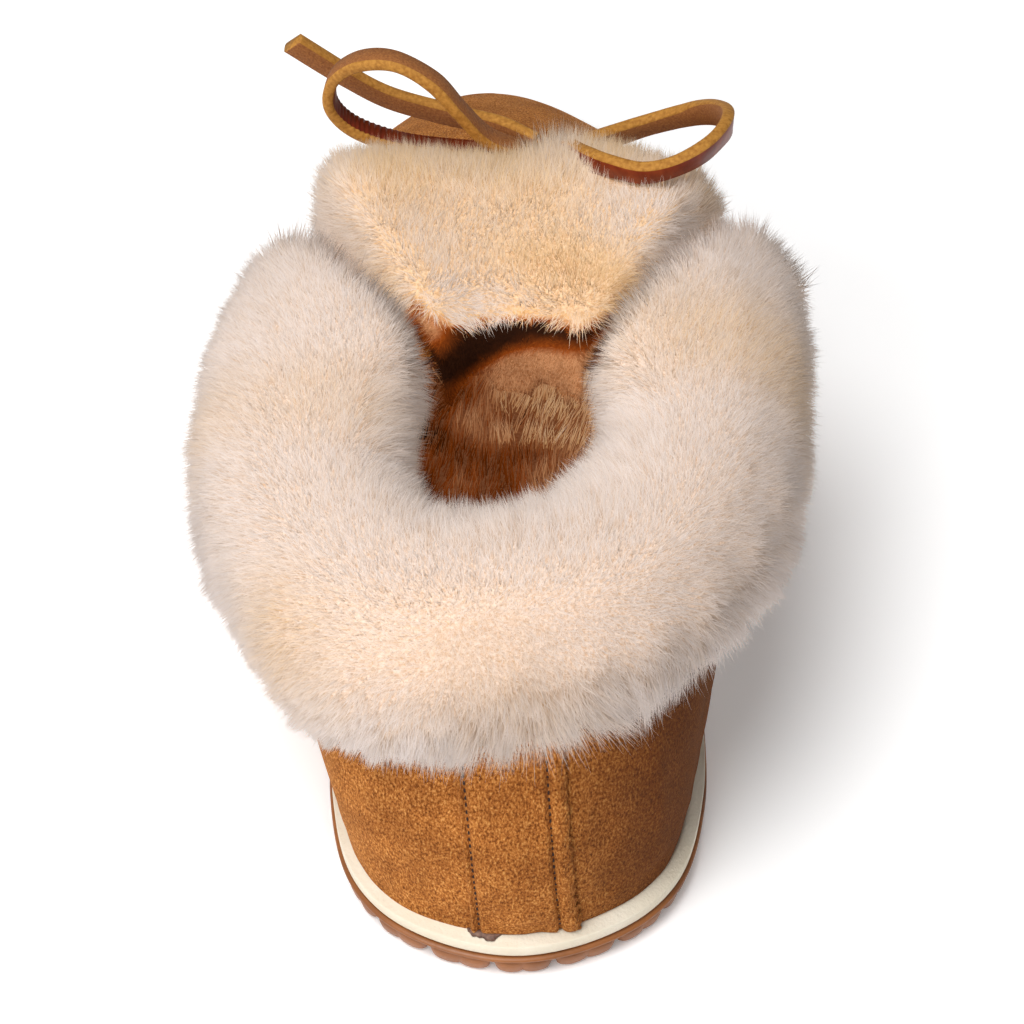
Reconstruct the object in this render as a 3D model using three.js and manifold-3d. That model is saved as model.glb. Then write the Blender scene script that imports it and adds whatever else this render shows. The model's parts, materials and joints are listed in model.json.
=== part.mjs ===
// Right-foot sheepskin slipper: a suede moccasin upper with its ankle collar turned down, wool side
// out, over a cream foam midsole and a gum rubber outsole, tied with a leather lace in a bow.
// Millimetres, +Z up, toe towards +Y, outer side of the foot towards +X.
import * as THREE from "three";
import { mergeVertices } from "three/addons/utils/BufferGeometryUtils.js";
import Module from "manifold-3d";

const wasm = await Module();
wasm.setup();

// Driving sizes of the last.
const LENGTH = 268; // outsole, heel to toe
const BALL_WIDTH = 97; // outsole across the ball
const HEEL_WIDTH = 75; // outsole across the heel
const HEEL_HEIGHT = 80; // floor to the fold of the collar, at the heel
const INSTEP_HEIGHT = 77; // floor to the fold of the collar, at the throat
const WALL = 2; // sheepskin leather, without its wool
const GAP = 0.3; // clearance between pieces that meet

// Heights of the sole's layers, above the floor under the heel.
const LUG_HEIGHT = 3;
const OUTSOLE_TOP = 5.4;
const MIDSOLE_BASE = OUTSOLE_TOP + GAP;
const MIDSOLE_SHOULDER = MIDSOLE_BASE + 3;
const MIDSOLE_RIM = MIDSOLE_SHOULDER + 1;
const FOOTBED = MIDSOLE_RIM - 2.5;
const INSOLE_THICKNESS = 5;

// How far each edge stands in from the sole's outline.
const MIDSOLE_RIM_INSET = 2.4;
const FOOTBED_INSET = 3;
const FEATHER_INSET = 4.4; // lower edge of the upper, inside the midsole's rim
const INSOLE_INSET = FEATHER_INSET + WALL + 2;

// Where the sole leaves the floor.
const TOE_SPRING = 6;
const TOE_SPRING_FROM = 0.7;
const ARCH_RISE = 2.2;
const ARCH_FROM = 0.3;
const ARCH_TO = 0.58;

// The collar's fold, an ellipse seen from above.
const COLLAR = { x: -1, y: 58, halfWidth: 33, halfLength: 42 };

// The sole's outline, a row for each main place round it from the heel by the outer side: the share of
// the length from the heel, and how far it stands out from the heel's middle line.
const OUTLINE = [
  { place: "heel back", along: 0, across: 0 },
  { place: "heel outer corner", along: 0.045, across: 0.36 * HEEL_WIDTH },
  { place: "heel outer side", along: 0.15, across: 0.5 * HEEL_WIDTH },
  { place: "waist outer side", along: 0.36, across: 0.4 * BALL_WIDTH },
  { place: "ball outer side", along: 0.64, across: 0.505 * BALL_WIDTH },
  { place: "toe outer side", along: 0.86, across: 0.39 * BALL_WIDTH },
  { place: "toe outer corner", along: 0.965, across: 0.17 * BALL_WIDTH },
  { place: "toe tip", along: 1, across: -0.06 * BALL_WIDTH },
  { place: "toe inner corner", along: 0.965, across: -0.28 * BALL_WIDTH },
  { place: "toe inner side", along: 0.87, across: -0.44 * BALL_WIDTH },
  { place: "ball inner side", along: 0.68, across: -0.495 * BALL_WIDTH },
  { place: "arch", along: 0.4, across: -0.37 * BALL_WIDTH },
  { place: "heel inner side", along: 0.16, across: -0.49 * HEEL_WIDTH },
  { place: "heel inner corner", along: 0.045, across: -0.36 * HEEL_WIDTH },
];

// A rib of the upper runs from each of those places to the collar: the angle where it meets the collar,
// how far the wall swells out and rises at the sole, how far it spreads and drops at the collar, and
// whether it leaves the collar square to it (aim 0) or straight towards its foot (aim 1).
const RIBS = [
  { place: "heel back", collar: -90, swell: 7.5, rise: 23, spread: 13, drop: 22, aim: 0 },
  { place: "heel outer corner", collar: -62, swell: 7.5, rise: 23, spread: 15, drop: 21, aim: 0 },
  { place: "heel outer side", collar: -28, swell: 7, rise: 22, spread: 18, drop: 20, aim: 0 },
  { place: "waist outer side", collar: 22, swell: 6.5, rise: 22, spread: 19, drop: 19, aim: 0.2 },
  { place: "ball outer side", collar: 56, swell: 4, rise: 23, spread: 50, drop: 13, aim: 0.9 },
  { place: "toe outer side", collar: 74, swell: 3, rise: 23, spread: 68, drop: 17, aim: 1 },
  { place: "toe outer corner", collar: 84, swell: 2, rise: 22, spread: 74, drop: 19, aim: 1 },
  { place: "toe tip", collar: 90, swell: 2, rise: 22, spread: 75, drop: 19, aim: 1 },
  { place: "toe inner corner", collar: 97, swell: 2, rise: 23, spread: 74, drop: 18, aim: 1 },
  { place: "toe inner side", collar: 108, swell: 3, rise: 25, spread: 66, drop: 16, aim: 1 },
  { place: "ball inner side", collar: 125, swell: 4, rise: 25, spread: 50, drop: 13, aim: 0.9 },
  { place: "arch", collar: 156, swell: 7.5, rise: 22, spread: 21, drop: 19, aim: 0.2 },
  { place: "heel inner side", collar: 207, swell: 9, rise: 22, spread: 21, drop: 20, aim: 0 },
  { place: "heel inner corner", collar: 242, swell: 8.5, rise: 23, spread: 17, drop: 21, aim: 0 },
];
const RIB_COUNT = 60; // ribs drawn round the upper
const RIB_STEPS = 8; // facets along a rib

// The turned-down cuff, a row for each section from the inner front end round the heel to the outer
// front end: how far the wool stands out from the fold, hangs below it, rises above it and reaches
// into the mouth.
const CUFF = [
  { place: "inner front end", pile: 51, hang: 16, crown: 18, lip: 11 },
  { place: "inner side", pile: 33, hang: 26, crown: 16, lip: 14 },
  { place: "inner rear side", pile: 26, hang: 28, crown: 15, lip: 14 },
  { place: "inner quarter", pile: 30, hang: 22, crown: 17, lip: 14.5 },
  { place: "heel", pile: 21, hang: 16, crown: 18, lip: 21.5 },
  { place: "outer quarter", pile: 20, hang: 13, crown: 17, lip: 23 },
  { place: "outer rear side", pile: 20.5, hang: 20, crown: 16, lip: 20 },
  { place: "outer side", pile: 29, hang: 25, crown: 15, lip: 15 },
  { place: "outer front end", pile: 58, hang: 15, crown: 18, lip: 11 },
];
const CUFF_FROM = 128.5; // collar angles of its two ends
const CUFF_TO = 411.5;
const CUFF_SECTIONS = 30;
// Outline of the wool in a section of the cuff, from the mouth over the fold to the hem: out is in
// shares of lip inside the fold and of pile outside it, up in shares of crown above it and of hang below.
const CUFF_PROFILE = [
  { out: -0.98, up: -0.2 },
  { out: -1, up: 0.25 },
  { out: -0.75, up: 0.75 },
  { out: -0.3, up: 0.98 },
  { out: 0.18, up: 1 },
  { out: 0.56, up: 0.84 },
  { out: 0.86, up: 0.36 },
  { out: 1, up: -0.15 },
  { out: 1, up: -0.55 },
  { out: 0.86, up: -0.9 },
  { out: 0.6, up: -1.04 },
  { out: 0.2, up: -1 },
];

// The tongue, turned forward over the vamp, a row for each section from its outer to its inner edge:
// how far it reaches from the fold, how high it rises above the fold and how far into the mouth.
const TONGUE = [
  { place: "outer edge", reach: 54, crown: 22, lip: 10 },
  { place: "outer shoulder", reach: 57, crown: 20.5, lip: 10 },
  { place: "middle", reach: 49, crown: 20, lip: 10 },
  { place: "inner shoulder", reach: 54, crown: 22.5, lip: 10 },
  { place: "inner edge", reach: 57, crown: 27, lip: 10 },
];
const TONGUE_FROM = 52.5; // collar angles of its two edges
const TONGUE_TO = 127.5;
const TONGUE_SECTIONS = 10;
const TONGUE_SIDE = -41; // its inner side is cut straight here
// Outline of a section of the tongue, in the same shares; below the fold up is in shares of crown too.
const TONGUE_PROFILE = [
  { out: -0.98, up: -0.2 },
  { out: -1.05, up: 0.25 },
  { out: -0.75, up: 0.6 },
  { out: 0.04, up: 0.75 },
  { out: 0.3, up: 0.9 },
  { out: 0.56, up: 1 },
  { out: 0.76, up: 0.84 },
  { out: 0.91, up: 0.42 },
  { out: 0.98, up: -0.16 },
  { out: 0.94, up: -0.95 },
  { out: 0.5, up: -0.8 },
  { out: 0.1, up: -0.4 },
];

// Wool inside the mouth, under the fold: out in millimetres plus a share of lip, up in millimetres.
const LIP_PROFILE = [
  { out: -3, share: 0, up: 4 },
  { out: -3, share: 0, up: -15 },
  { out: 0, share: -0.6, up: -18 },
  { out: 0, share: -0.95, up: -9 },
  { out: 0, share: -1, up: -2 },
  { out: 0, share: -0.9, up: 4 },
];

// Locks of wool fused on, a row for each kind: how many, from where to where in the sizes above, how far
// the tips wander sideways and how thick the lock is at its root.
const CUFF_LOCKS = [
  { place: "hem", count: 23, root: [0.6, -0.7], tip: [0.8, -1.3], wander: 4, radius: 6 },
  { place: "outside", count: 17, root: [0.78, 0.1], tip: [1.05, -0.45], wander: 5, radius: 7 },
  { place: "mouth", count: 13, root: [-0.6, 0.5], tip: [-1.12, 0.4], wander: 4, radius: 5.5 },
];
const TONGUE_LOCKS = [
  { place: "front", count: 6, root: [0.76, 0.55], tip: [1.04, 0.4], wander: 4, radius: 6.5 },
  { place: "ridge", count: 6, root: [0.48, 0.8], tip: [0.6, 1.15], wander: 5, radius: 6.5 },
  { place: "mouth", count: 4, root: [-0.5, 0.4], tip: [-1.2, 0.38], wander: 3, radius: 5 },
];

// The strip sewn down the back of the heel, from the sole up under the cuff. It leans, so its edges
// are given at the sole and at the cuff, across the heel.
const STRIP = { thickness: 1.2, leftLow: -7, rightLow: 11.7, leftHigh: -11, rightHigh: 7.8, top: 0.72 };

// Perimeter lugs and cross bars of the tread.
const LUG_COUNT = 32;
const LUG_SHARE = 0.76; // of the pitch, the rest is the notch
const LUG_START = 0.28; // of the pitch, from the middle of the heel to the first lug's end
const LUG_DEPTH = 10; // in from the edge
const BAR_INSET = 14;
const BAR_WIDTH = 8;
const BAR_POINT = 4; // how far its middle points towards the toe
const BAR_PLACES = [0.12, 0.19, 0.26, 0.56, 0.62, 0.68, 0.74, 0.8, 0.86];

// The leather lace, flat, and the routes of its pieces by hand: x across, y from the heel, z up.
const LACE = { width: 5.4, thickness: 2.4, chamfer: 0.5, step: 8 };
const KNOT = { x: 6.5, y: 150.6, z: 83.5, radius: 5.2 };
const LACE_ROUTES = [
  {
    name: "lace_loop_left",
    width: [0.1, 0.98, -0.1],
    points: [
      [1, 150, 86], [-6, 148, 91], [-11.5, 147, 98.5], [-17, 148, 105],
      [-24.5, 150, 108.5], [-32, 153, 106.5], [-37.4, 156, 100.5], [-38.6, 157.5, 93],
      [-34.5, 158.5, 86.5], [-26, 158.5, 82.5], [-14, 157.5, 81], [-2, 155, 82],
    ],
  },
  {
    name: "lace_loop_right",
    width: [0, -0.35, 0.94],
    points: [
      [10, 152.8, 83.2], [17.2, 159, 82.2], [27.2, 163.5, 82.8], [36, 162, 86.6],
      [40.6, 156.5, 91.3], [43, 147.5, 96.7], [42.3, 138, 100.5], [38.2, 130, 101.3], [32, 126, 100.1],
      [25.5, 125.5, 98.7], [19.2, 128.5, 98.1], [14.5, 134, 95.9], [11.6, 142.5, 91.2], [9, 150.4, 85],
    ],
  },
  {
    name: "lace_end_left",
    width: [0.1, -0.3, 0.95],
    points: [
      [4.5, 154.6, 84.5], [-4.5, 161, 84.5], [-16, 166.5, 84],
      [-27, 168, 86.8], [-36, 168, 92.5], [-46.5, 166, 102],
    ],
  },
  {
    name: "lace_end_right",
    width: [0, -0.35, 0.94],
    points: [[6, 153.5, 79.4], [14, 163.5, 76.6], [25.5, 171.5, 76], [39.5, 176, 77]],
  },
];

const COLOURS = {
  suede: 0xb06a28,
  wool: 0xe9dac4,
  warmWool: 0xe8cda4,
  foam: 0xe6dcc6,
  gum: 0xa8642e,
  leather: 0x7a2c12,
};

// Curves through a table's rows

// A row's value at a share t of the way round a closed table; turn is what one whole round adds.
function around(rows, key, t, turn = 0) {
  const count = rows.length;
  const place = t * count;
  const first = Math.floor(place);
  const value = (i) => rows[((i % count) + count) % count][key] + turn * Math.floor(i / count);
  return spline([-1, 0, 1, 2].map((i) => value(first + i)), place - first);
}

// A row's value at a share t of the way down an open table.
function down(rows, key, t) {
  const last = rows.length - 1;
  const place = Math.min(Math.max(t, 0), 1) * last;
  const first = Math.min(Math.floor(place), last - 1);
  const value = (i) => rows[Math.min(Math.max(i, 0), last)][key];
  return spline([-1, 0, 1, 2].map((i) => value(first + i)), place - first);
}

// Catmull-Rom between the middle two of four values.
function spline([a, b, c, d], f) {
  const bend = (2 * a - 5 * b + 4 * c - d) * f * f + (3 * b - a - 3 * c + d) * f ** 3;
  return b + 0.5 * ((c - a) * f + bend);
}

const mix = THREE.MathUtils.lerp;
const radians = THREE.MathUtils.degToRad;

// The last

// Height of the tread above the floor: toe spring and a low arch.
function floorLift(y) {
  const along = y / LENGTH;
  const toe = Math.max(0, along - TOE_SPRING_FROM) / (1 - TOE_SPRING_FROM);
  const waist = THREE.MathUtils.clamp((along - ARCH_FROM) / (ARCH_TO - ARCH_FROM), 0, 1);
  return TOE_SPRING * toe ** 2 + ARCH_RISE * Math.sin(Math.PI * waist) ** 2;
}

function outlineAt(t) {
  return new THREE.Vector3(around(OUTLINE, "across", t), LENGTH * around(OUTLINE, "along", t), 0);
}

// Level direction out of the sole at t.
function outlineNormal(t) {
  const nudge = 1e-3;
  const run = outlineAt(t + nudge).sub(outlineAt(t - nudge));
  return new THREE.Vector3(run.y, -run.x, 0).normalize();
}

// Point of the sole's edge, inset by a distance, at a height above the tread.
function edgePoint(t, inset, height) {
  const point = outlineAt(t).addScaledVector(outlineNormal(t), -inset);
  return point.setZ(height + floorLift(point.y));
}

function collarPoint(angle) {
  const a = radians(angle);
  const front = 0.5 + 0.5 * Math.sin(a);
  const x = COLLAR.x + COLLAR.halfWidth * Math.cos(a);
  const y = COLLAR.y + COLLAR.halfLength * Math.sin(a);
  return new THREE.Vector3(x, y, mix(HEEL_HEIGHT, INSTEP_HEIGHT, front));
}

// Level direction square to the collar at an angle.
function collarNormal(angle) {
  const a = radians(angle);
  return new THREE.Vector3(Math.cos(a) / COLLAR.halfWidth, Math.sin(a) / COLLAR.halfLength, 0).normalize();
}

const collarAngle = (t) => around(RIBS, "collar", t, 360);

function rib(t) {
  const value = (key) => around(RIBS, key, t);
  const foot = edgePoint(t, FEATHER_INSET, FOOTBED + GAP);
  const angle = collarAngle(t);
  const fold = collarPoint(angle);
  const straight = foot.clone().sub(fold).setZ(0).normalize();
  const leave = collarNormal(angle).lerp(straight, value("aim")).normalize();
  const low = foot.clone().addScaledVector(outlineNormal(t), value("swell"));
  const high = fold.clone().addScaledVector(leave, value("spread"));
  low.z += value("rise");
  high.z -= value("drop");
  return new THREE.CubicBezierCurve3(foot, low, high, fold);
}

// Point of the upper's outside: t round the sole, v from the sole (0) to the fold (1), moved out by off.
function upperPoint(t, v, off = 0) {
  const point = rib(t).getPoint(v);
  return off ? point.addScaledVector(upperNormal(t, v), off) : point;
}

function upperNormal(t, v) {
  const nudge = 1e-3;
  const round = rib(t + nudge).getPoint(v).sub(rib(t - nudge).getPoint(v));
  const up = rib(t).getPoint(Math.min(v + nudge, 1)).sub(rib(t).getPoint(Math.max(v - nudge, 0)));
  return round.cross(up).normalize();
}

// Solids from rings of points

// Even steps from one value to another, both ends included.
function steps(count, from = 0, to = 1) {
  return Array.from({ length: count + 1 }, (_, i) => mix(from, to, i / count));
}

const ringPlaces = steps(RIB_COUNT).slice(0, -1);

// A mesh from rows of points, each joined to the next; closed joins the last row to the first.
function skin(rows, closed, faces = []) {
  const width = rows[0].length;
  const joins = closed ? rows.length : rows.length - 1;
  for (let r = 0; r < joins; r++) {
    const [near, far] = [r * width, ((r + 1) % rows.length) * width];
    for (let i = 0; i < width; i++) {
      const next = (i + 1) % width;
      faces.push(near + i, near + next, far + next, near + i, far + next, far + i);
    }
  }
  const geometry = new THREE.BufferGeometry().setFromPoints(rows.flat());
  geometry.setIndex(faces);
  return geometry;
}

// A plate from rings stacked upwards, closed below and above by strips across the foot.
function plate(rings) {
  const count = rings[0].length;
  const top = (rings.length - 1) * count;
  const faces = [];
  for (let i = 0; i < count / 2; i++) {
    const [a, b, c, d] = [i, i + 1, count - i - 1, (count - i) % count];
    for (const [x, y, z] of [[a, b, c], [a, c, d]]) {
      if (x === y || y === z || x === z) continue;
      faces.push(top + x, top + y, top + z, z, y, x);
    }
  }
  return skin(rings, false, faces);
}

// A bar from closed sections in a row, with a flat end at each.
function bar(sections, flat) {
  const count = sections[0].length;
  const last = (sections.length - 1) * count;
  const faces = [];
  for (const [a, b, c] of THREE.ShapeUtils.triangulateShape(flat(0), [])) faces.push(c, b, a);
  for (const [a, b, c] of THREE.ShapeUtils.triangulateShape(flat(sections.length - 1), [])) {
    faces.push(last + a, last + b, last + c);
  }
  return skin(sections, false, faces);
}

function solid(geometry) {
  const bare = geometry.clone();
  bare.deleteAttribute("normal");
  bare.deleteAttribute("uv");
  const merged = mergeVertices(bare, 1e-4);
  const mesh = new wasm.Mesh({
    numProp: 3,
    vertProperties: new Float32Array(merged.attributes.position.array),
    triVerts: new Uint32Array(merged.index.array),
  });
  return new wasm.Manifold(mesh);
}

function geometryOf(made) {
  const mesh = made.simplify(0.02).getMesh();
  const geometry = new THREE.BufferGeometry();
  geometry.setAttribute("position", new THREE.BufferAttribute(new Float32Array(mesh.vertProperties), 3));
  geometry.setIndex(new THREE.BufferAttribute(new Uint32Array(mesh.triVerts), 1));
  return geometry;
}

function joined(base, extras) {
  return extras.reduce((whole, extra) => whole.add(solid(extra)), solid(base));
}

// A ring round the sole, inset by a distance, at a height above the tread.
function ring(inset, height) {
  return ringPlaces.map((t) => edgePoint(t, inset, height));
}

// Sole

// A lug between two places round the edge, tapered towards the floor.
function edgeLug(from, to) {
  const loop = (outer, depth, trim, height) => {
    const places = steps(2, from + trim, to - trim);
    const outside = places.map((t) => edgePoint(t, outer, height));
    const inside = places.map((t) => edgePoint(t, depth, height)).reverse();
    return [...outside, ...inside];
  };
  return block([
    loop(1.4, LUG_DEPTH - 0.8, 0.1 * (to - from), 0),
    loop(-0.1, LUG_DEPTH, 0, LUG_HEIGHT + 0.8),
  ]);
}

// A bar across the sole, pointed towards the toe in the middle.
function crossBar(along) {
  const y = along * LENGTH;
  const sides = [1, -1].map((side) => soleWidth(y, side) - side * BAR_INSET);
  const middle = (sides[0] + sides[1]) / 2;
  const loop = (shrink, height) => {
    const half = BAR_WIDTH / 2 - shrink;
    const point = (x, dy) => new THREE.Vector3(x, y + dy, height + floorLift(y + dy));
    const [right, left] = [sides[0] - shrink, sides[1] + shrink];
    return [
      point(right, -half),
      point(right, half),
      point(middle, BAR_POINT + half),
      point(left, half),
      point(left, -half),
      point(middle, BAR_POINT - half),
    ];
  };
  return block([loop(0.9, 0), loop(0, 0.9), loop(0, LUG_HEIGHT + 0.6)]);
}

// Edge of the sole at a distance from the heel, on the outer (1) or inner (-1) side.
function soleWidth(y, side) {
  let best = 0;
  for (const t of steps(400)) {
    const point = outlineAt(t);
    if (Math.abs(point.y - y) < 1.5 && side * point.x > side * best) best = point.x;
  }
  return best;
}

// A small solid from loops stacked upwards, its ends filled by a flat triangulation.
function block(loops) {
  return bar(loops, (i) => loops[i].map((p) => new THREE.Vector2(p.x, p.y)));
}

function outsole() {
  const web = plate([
    ring(1.2, LUG_HEIGHT),
    ring(0.4, OUTSOLE_TOP - 1.1),
    ring(-0.4, OUTSOLE_TOP - 0.7),
    ring(0, OUTSOLE_TOP),
  ]);
  const starts = Array.from({ length: LUG_COUNT }, (_, i) => i - LUG_START);
  const lugs = starts.map((start) => edgeLug(start / LUG_COUNT, (start + LUG_SHARE) / LUG_COUNT));
  return geometryOf(joined(web, [...lugs, ...BAR_PLACES.map(crossBar)]));
}

function midsole() {
  return plate([
    ring(0.7, MIDSOLE_BASE),
    ring(0.1, MIDSOLE_BASE + 0.8),
    ring(0, MIDSOLE_SHOULDER - 0.6),
    ring(0.5, MIDSOLE_SHOULDER),
    ring(MIDSOLE_RIM_INSET, MIDSOLE_RIM),
    ring(FOOTBED_INSET, MIDSOLE_RIM - 0.3),
    ring(FOOTBED_INSET, FOOTBED),
  ]);
}

function insole() {
  const base = FOOTBED + GAP;
  return plate([
    ring(INSOLE_INSET, base),
    ring(INSOLE_INSET - 0.4, base + 0.6 * INSOLE_THICKNESS),
    ring(INSOLE_INSET + 1.2, base + INSOLE_THICKNESS),
  ]);
}

// Upper

function upper() {
  const rows = steps(RIB_STEPS);
  const outside = rows.map((v) => ringPlaces.map((t) => upperPoint(t, v)));
  const inside = rows.map((v) => ringPlaces.map((t) => upperPoint(t, v, -WALL)));
  return skin([...outside, ...inside.reverse()], true);
}

// The place round the sole where the heel's wall, at height share v, crosses x.
function heelPlace(x, v) {
  let low = -0.12;
  let high = 0.12;
  for (let i = 0; i < 40; i++) {
    const middle = (low + high) / 2;
    if (upperPoint(middle, v).x < x) low = middle;
    else high = middle;
  }
  return (low + high) / 2;
}

// The strip, or with a clearance the room that it takes up.
function heelStrip(clearance = 0) {
  const low = 0.1; // clear of the midsole's rim
  const columns = steps(5);
  const row = (v, off) => {
    const share = (v - low) / (STRIP.top - low);
    const left = heelPlace(mix(STRIP.leftLow, STRIP.leftHigh, share) - clearance, v);
    const right = heelPlace(mix(STRIP.rightLow, STRIP.rightHigh, share) + clearance, v);
    return columns.map((c) => upperPoint(mix(left, right, c), v, off));
  };
  const sections = steps(7, low, STRIP.top + 0.01 * clearance).map((v) => [
    ...row(v, GAP + STRIP.thickness + clearance),
    ...row(v, GAP + 0.1 - clearance).reverse(),
  ]);
  return block(sections);
}

// Wool

// A lock of wool: a flattened five-sided cone from inside the wool to its tip.
function lock(root, tip, radius) {
  const run = tip.clone().sub(root);
  const cone = new THREE.ConeGeometry(radius, run.length(), 5, 1);
  cone.translate(0, run.length() / 2, 0);
  const upright = new THREE.Vector3(0, 1, 0);
  cone.applyQuaternion(new THREE.Quaternion().setFromUnitVectors(upright, run.normalize()));
  return cone.translate(root.x, root.y, root.z);
}

// A place in the upright plane from the middle of the collar through its fold at an angle.
function woolPoint(angle, { out, up }) {
  const fold = collarPoint(angle);
  const ray = new THREE.Vector3(fold.x - COLLAR.x, fold.y - COLLAR.y, 0).normalize();
  return fold.addScaledVector(ray, out).setZ(fold.z + up);
}

// A solid swept round the collar through a section's places.
function woolSweep(from, to, count, placesAt) {
  const shares = steps(count);
  const places = shares.map(placesAt);
  const sections = shares.map((share, i) => places[i].map((p) => woolPoint(mix(from, to, share), p)));
  return solid(bar(sections, (i) => places[i].map((p) => new THREE.Vector2(-p.out, p.up))));
}

// Everything inside the upper's outer face, grown by a clearance, with the mouth closed.
function envelope() {
  const clearance = 0.5;
  const rings = steps(RIB_STEPS).map((v) => ringPlaces.map((t) => upperPoint(t, v, clearance)));
  for (const point of rings.at(-1)) point.z += clearance;
  return solid(plate(rings));
}

// Wool turned over the fold: its form outside the upper with its locks, and its lip inside the mouth.
function turnedWool({ from, to, count, rows, profile, sizes, locks }) {
  const place = (share, out, up) => ({
    out: out * down(rows, out < 0 ? "lip" : sizes.out, share),
    up: up * down(rows, up < 0 ? sizes.below : "crown", share),
  });
  const outline = (share) => profile.map((p) => place(share, p.out, p.up));
  const lip = (share) => {
    const depth = down(rows, "lip", share);
    return LIP_PROFILE.map((p) => ({ out: p.out + p.share * depth, up: p.up }));
  };
  let form = woolSweep(from, to, count, outline);
  for (const kind of locks) {
    for (let i = 0; i < kind.count; i++) {
      const share = (i + 0.5) / kind.count;
      const lean = (kind.wander * Math.sin(2.4 * i + kind.count)) / COLLAR.halfLength;
      const angle = mix(from, to, share);
      const root = woolPoint(angle, place(share, ...kind.root));
      const tip = woolPoint(angle + THREE.MathUtils.radToDeg(lean), place(share, ...kind.tip));
      form = form.add(solid(lock(root, tip, kind.radius)));
    }
  }
  const set = 0.7; // the lip's ends stand back a little
  return form.subtract(envelope()).add(woolSweep(from + set, to - set, count, lip));
}

function cuff() {
  const wool = turnedWool({
    from: CUFF_FROM,
    to: CUFF_TO,
    count: CUFF_SECTIONS,
    rows: CUFF,
    profile: CUFF_PROFILE,
    sizes: { out: "pile", below: "hang" },
    locks: CUFF_LOCKS,
  });
  return geometryOf(wool.subtract(solid(heelStrip(GAP))));
}

function tongue() {
  const wool = turnedWool({
    from: TONGUE_FROM,
    to: TONGUE_TO,
    count: TONGUE_SECTIONS,
    rows: TONGUE,
    profile: TONGUE_PROFILE,
    sizes: { out: "reach", below: "crown" },
    locks: TONGUE_LOCKS,
  });
  const rooms = [knot(GAP), ...LACE_ROUTES.map((route) => laceStrip(route, GAP))];
  const cut = wool.trimByPlane([1, 0, 0], TONGUE_SIDE);
  const parts = rooms.reduce((left, room) => left.subtract(solid(room)), cut).decompose();
  return geometryOf(parts.sort((a, b) => b.volume() - a.volume())[0]); // without tips that the lace cuts off
}

// Lace

// A lace piece, or with a clearance the room that it takes up.
function laceStrip({ points, width }, clearance = 0) {
  const path = new THREE.CatmullRomCurve3(points.map((p) => new THREE.Vector3(...p)));
  const count = Math.round(path.getLength() / LACE.step);
  const frames = path.computeFrenetFrames(count, false);
  const wish = new THREE.Vector3(...width);
  const roll = Math.atan2(wish.dot(frames.binormals[0]), wish.dot(frames.normals[0]));
  const half = [LACE.width / 2 + clearance, LACE.thickness / 2 + clearance];
  const quarter = [[half[0], half[1] - LACE.chamfer], [half[0] - LACE.chamfer, half[1]]];
  const upperHalf = [...quarter, ...quarter.map(([x, y]) => [-x, y]).reverse()];
  const corners = [...upperHalf, ...upperHalf.map(([x, y]) => [-x, -y])];
  const centre = new THREE.Vector2();
  const shape = new THREE.Shape(corners.map(([x, y]) => new THREE.Vector2(x, y).rotateAround(centre, roll)));
  return new THREE.ExtrudeGeometry(shape, { steps: count, extrudePath: path, bevelEnabled: false });
}

function knot(grow = 0) {
  const ball = new THREE.SphereGeometry(KNOT.radius + grow, 10, 7).scale(1.25, 0.85, 0.9);
  return ball.translate(KNOT.x, KNOT.y, KNOT.z);
}

// Assembly

const material = (colour, roughness) =>
  new THREE.MeshStandardMaterial({ color: COLOURS[colour], roughness, metalness: 0 });

function piece(name, geometry, colour, roughness) {
  const mesh = new THREE.Mesh(geometry, material(colour, roughness));
  mesh.name = name;
  return mesh;
}

const body = new THREE.Group();
body.add(
  piece("outsole", outsole(), "gum", 0.55),
  piece("midsole", midsole(), "foam", 0.75),
  piece("insole", insole(), "warmWool", 0.95),
  piece("upper", upper(), "suede", 0.95),
  piece("heel_strip", heelStrip(), "suede", 0.95),
  piece("cuff", cuff(), "wool", 1),
  piece("tongue", tongue(), "warmWool", 1),
);

const clearOfKnot = solid(knot(GAP));
const lace = new THREE.Group();
lace.add(piece("lace_knot", knot(), "leather", 0.5));
for (const route of LACE_ROUTES) {
  const strip = solid(laceStrip(route)).subtract(clearOfKnot);
  lace.add(piece(route.name, geometryOf(strip), "leather", 0.5));
}

// The origin is on the floor, under the middle of the slipper's box without the lace.
const middle = new THREE.Box3().setFromObject(body).getCenter(new THREE.Vector3());
const slipper = new THREE.Group();
slipper.add(body, lace);
slipper.children.forEach((group) => group.position.set(-middle.x, -middle.y, 0));

export default slipper;
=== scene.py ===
# %% [markdown]
# # A sheepskin slipper, dressed for the camera
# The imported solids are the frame: they give every size and place. This lesson lays suede, wool, foam,
# rubber and a leather lace over them, one piece at a time. All lengths are in metres, and the frame's
# own axes are kept: the toe points to +Y, the outer side of the foot to +X, and the floor is z = 0.

# %% Load the frame
import json
import math

import bpy
import numpy as np
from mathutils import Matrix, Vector
from mathutils.bvhtree import BVHTree
from mathutils.kdtree import KDTree

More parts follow.
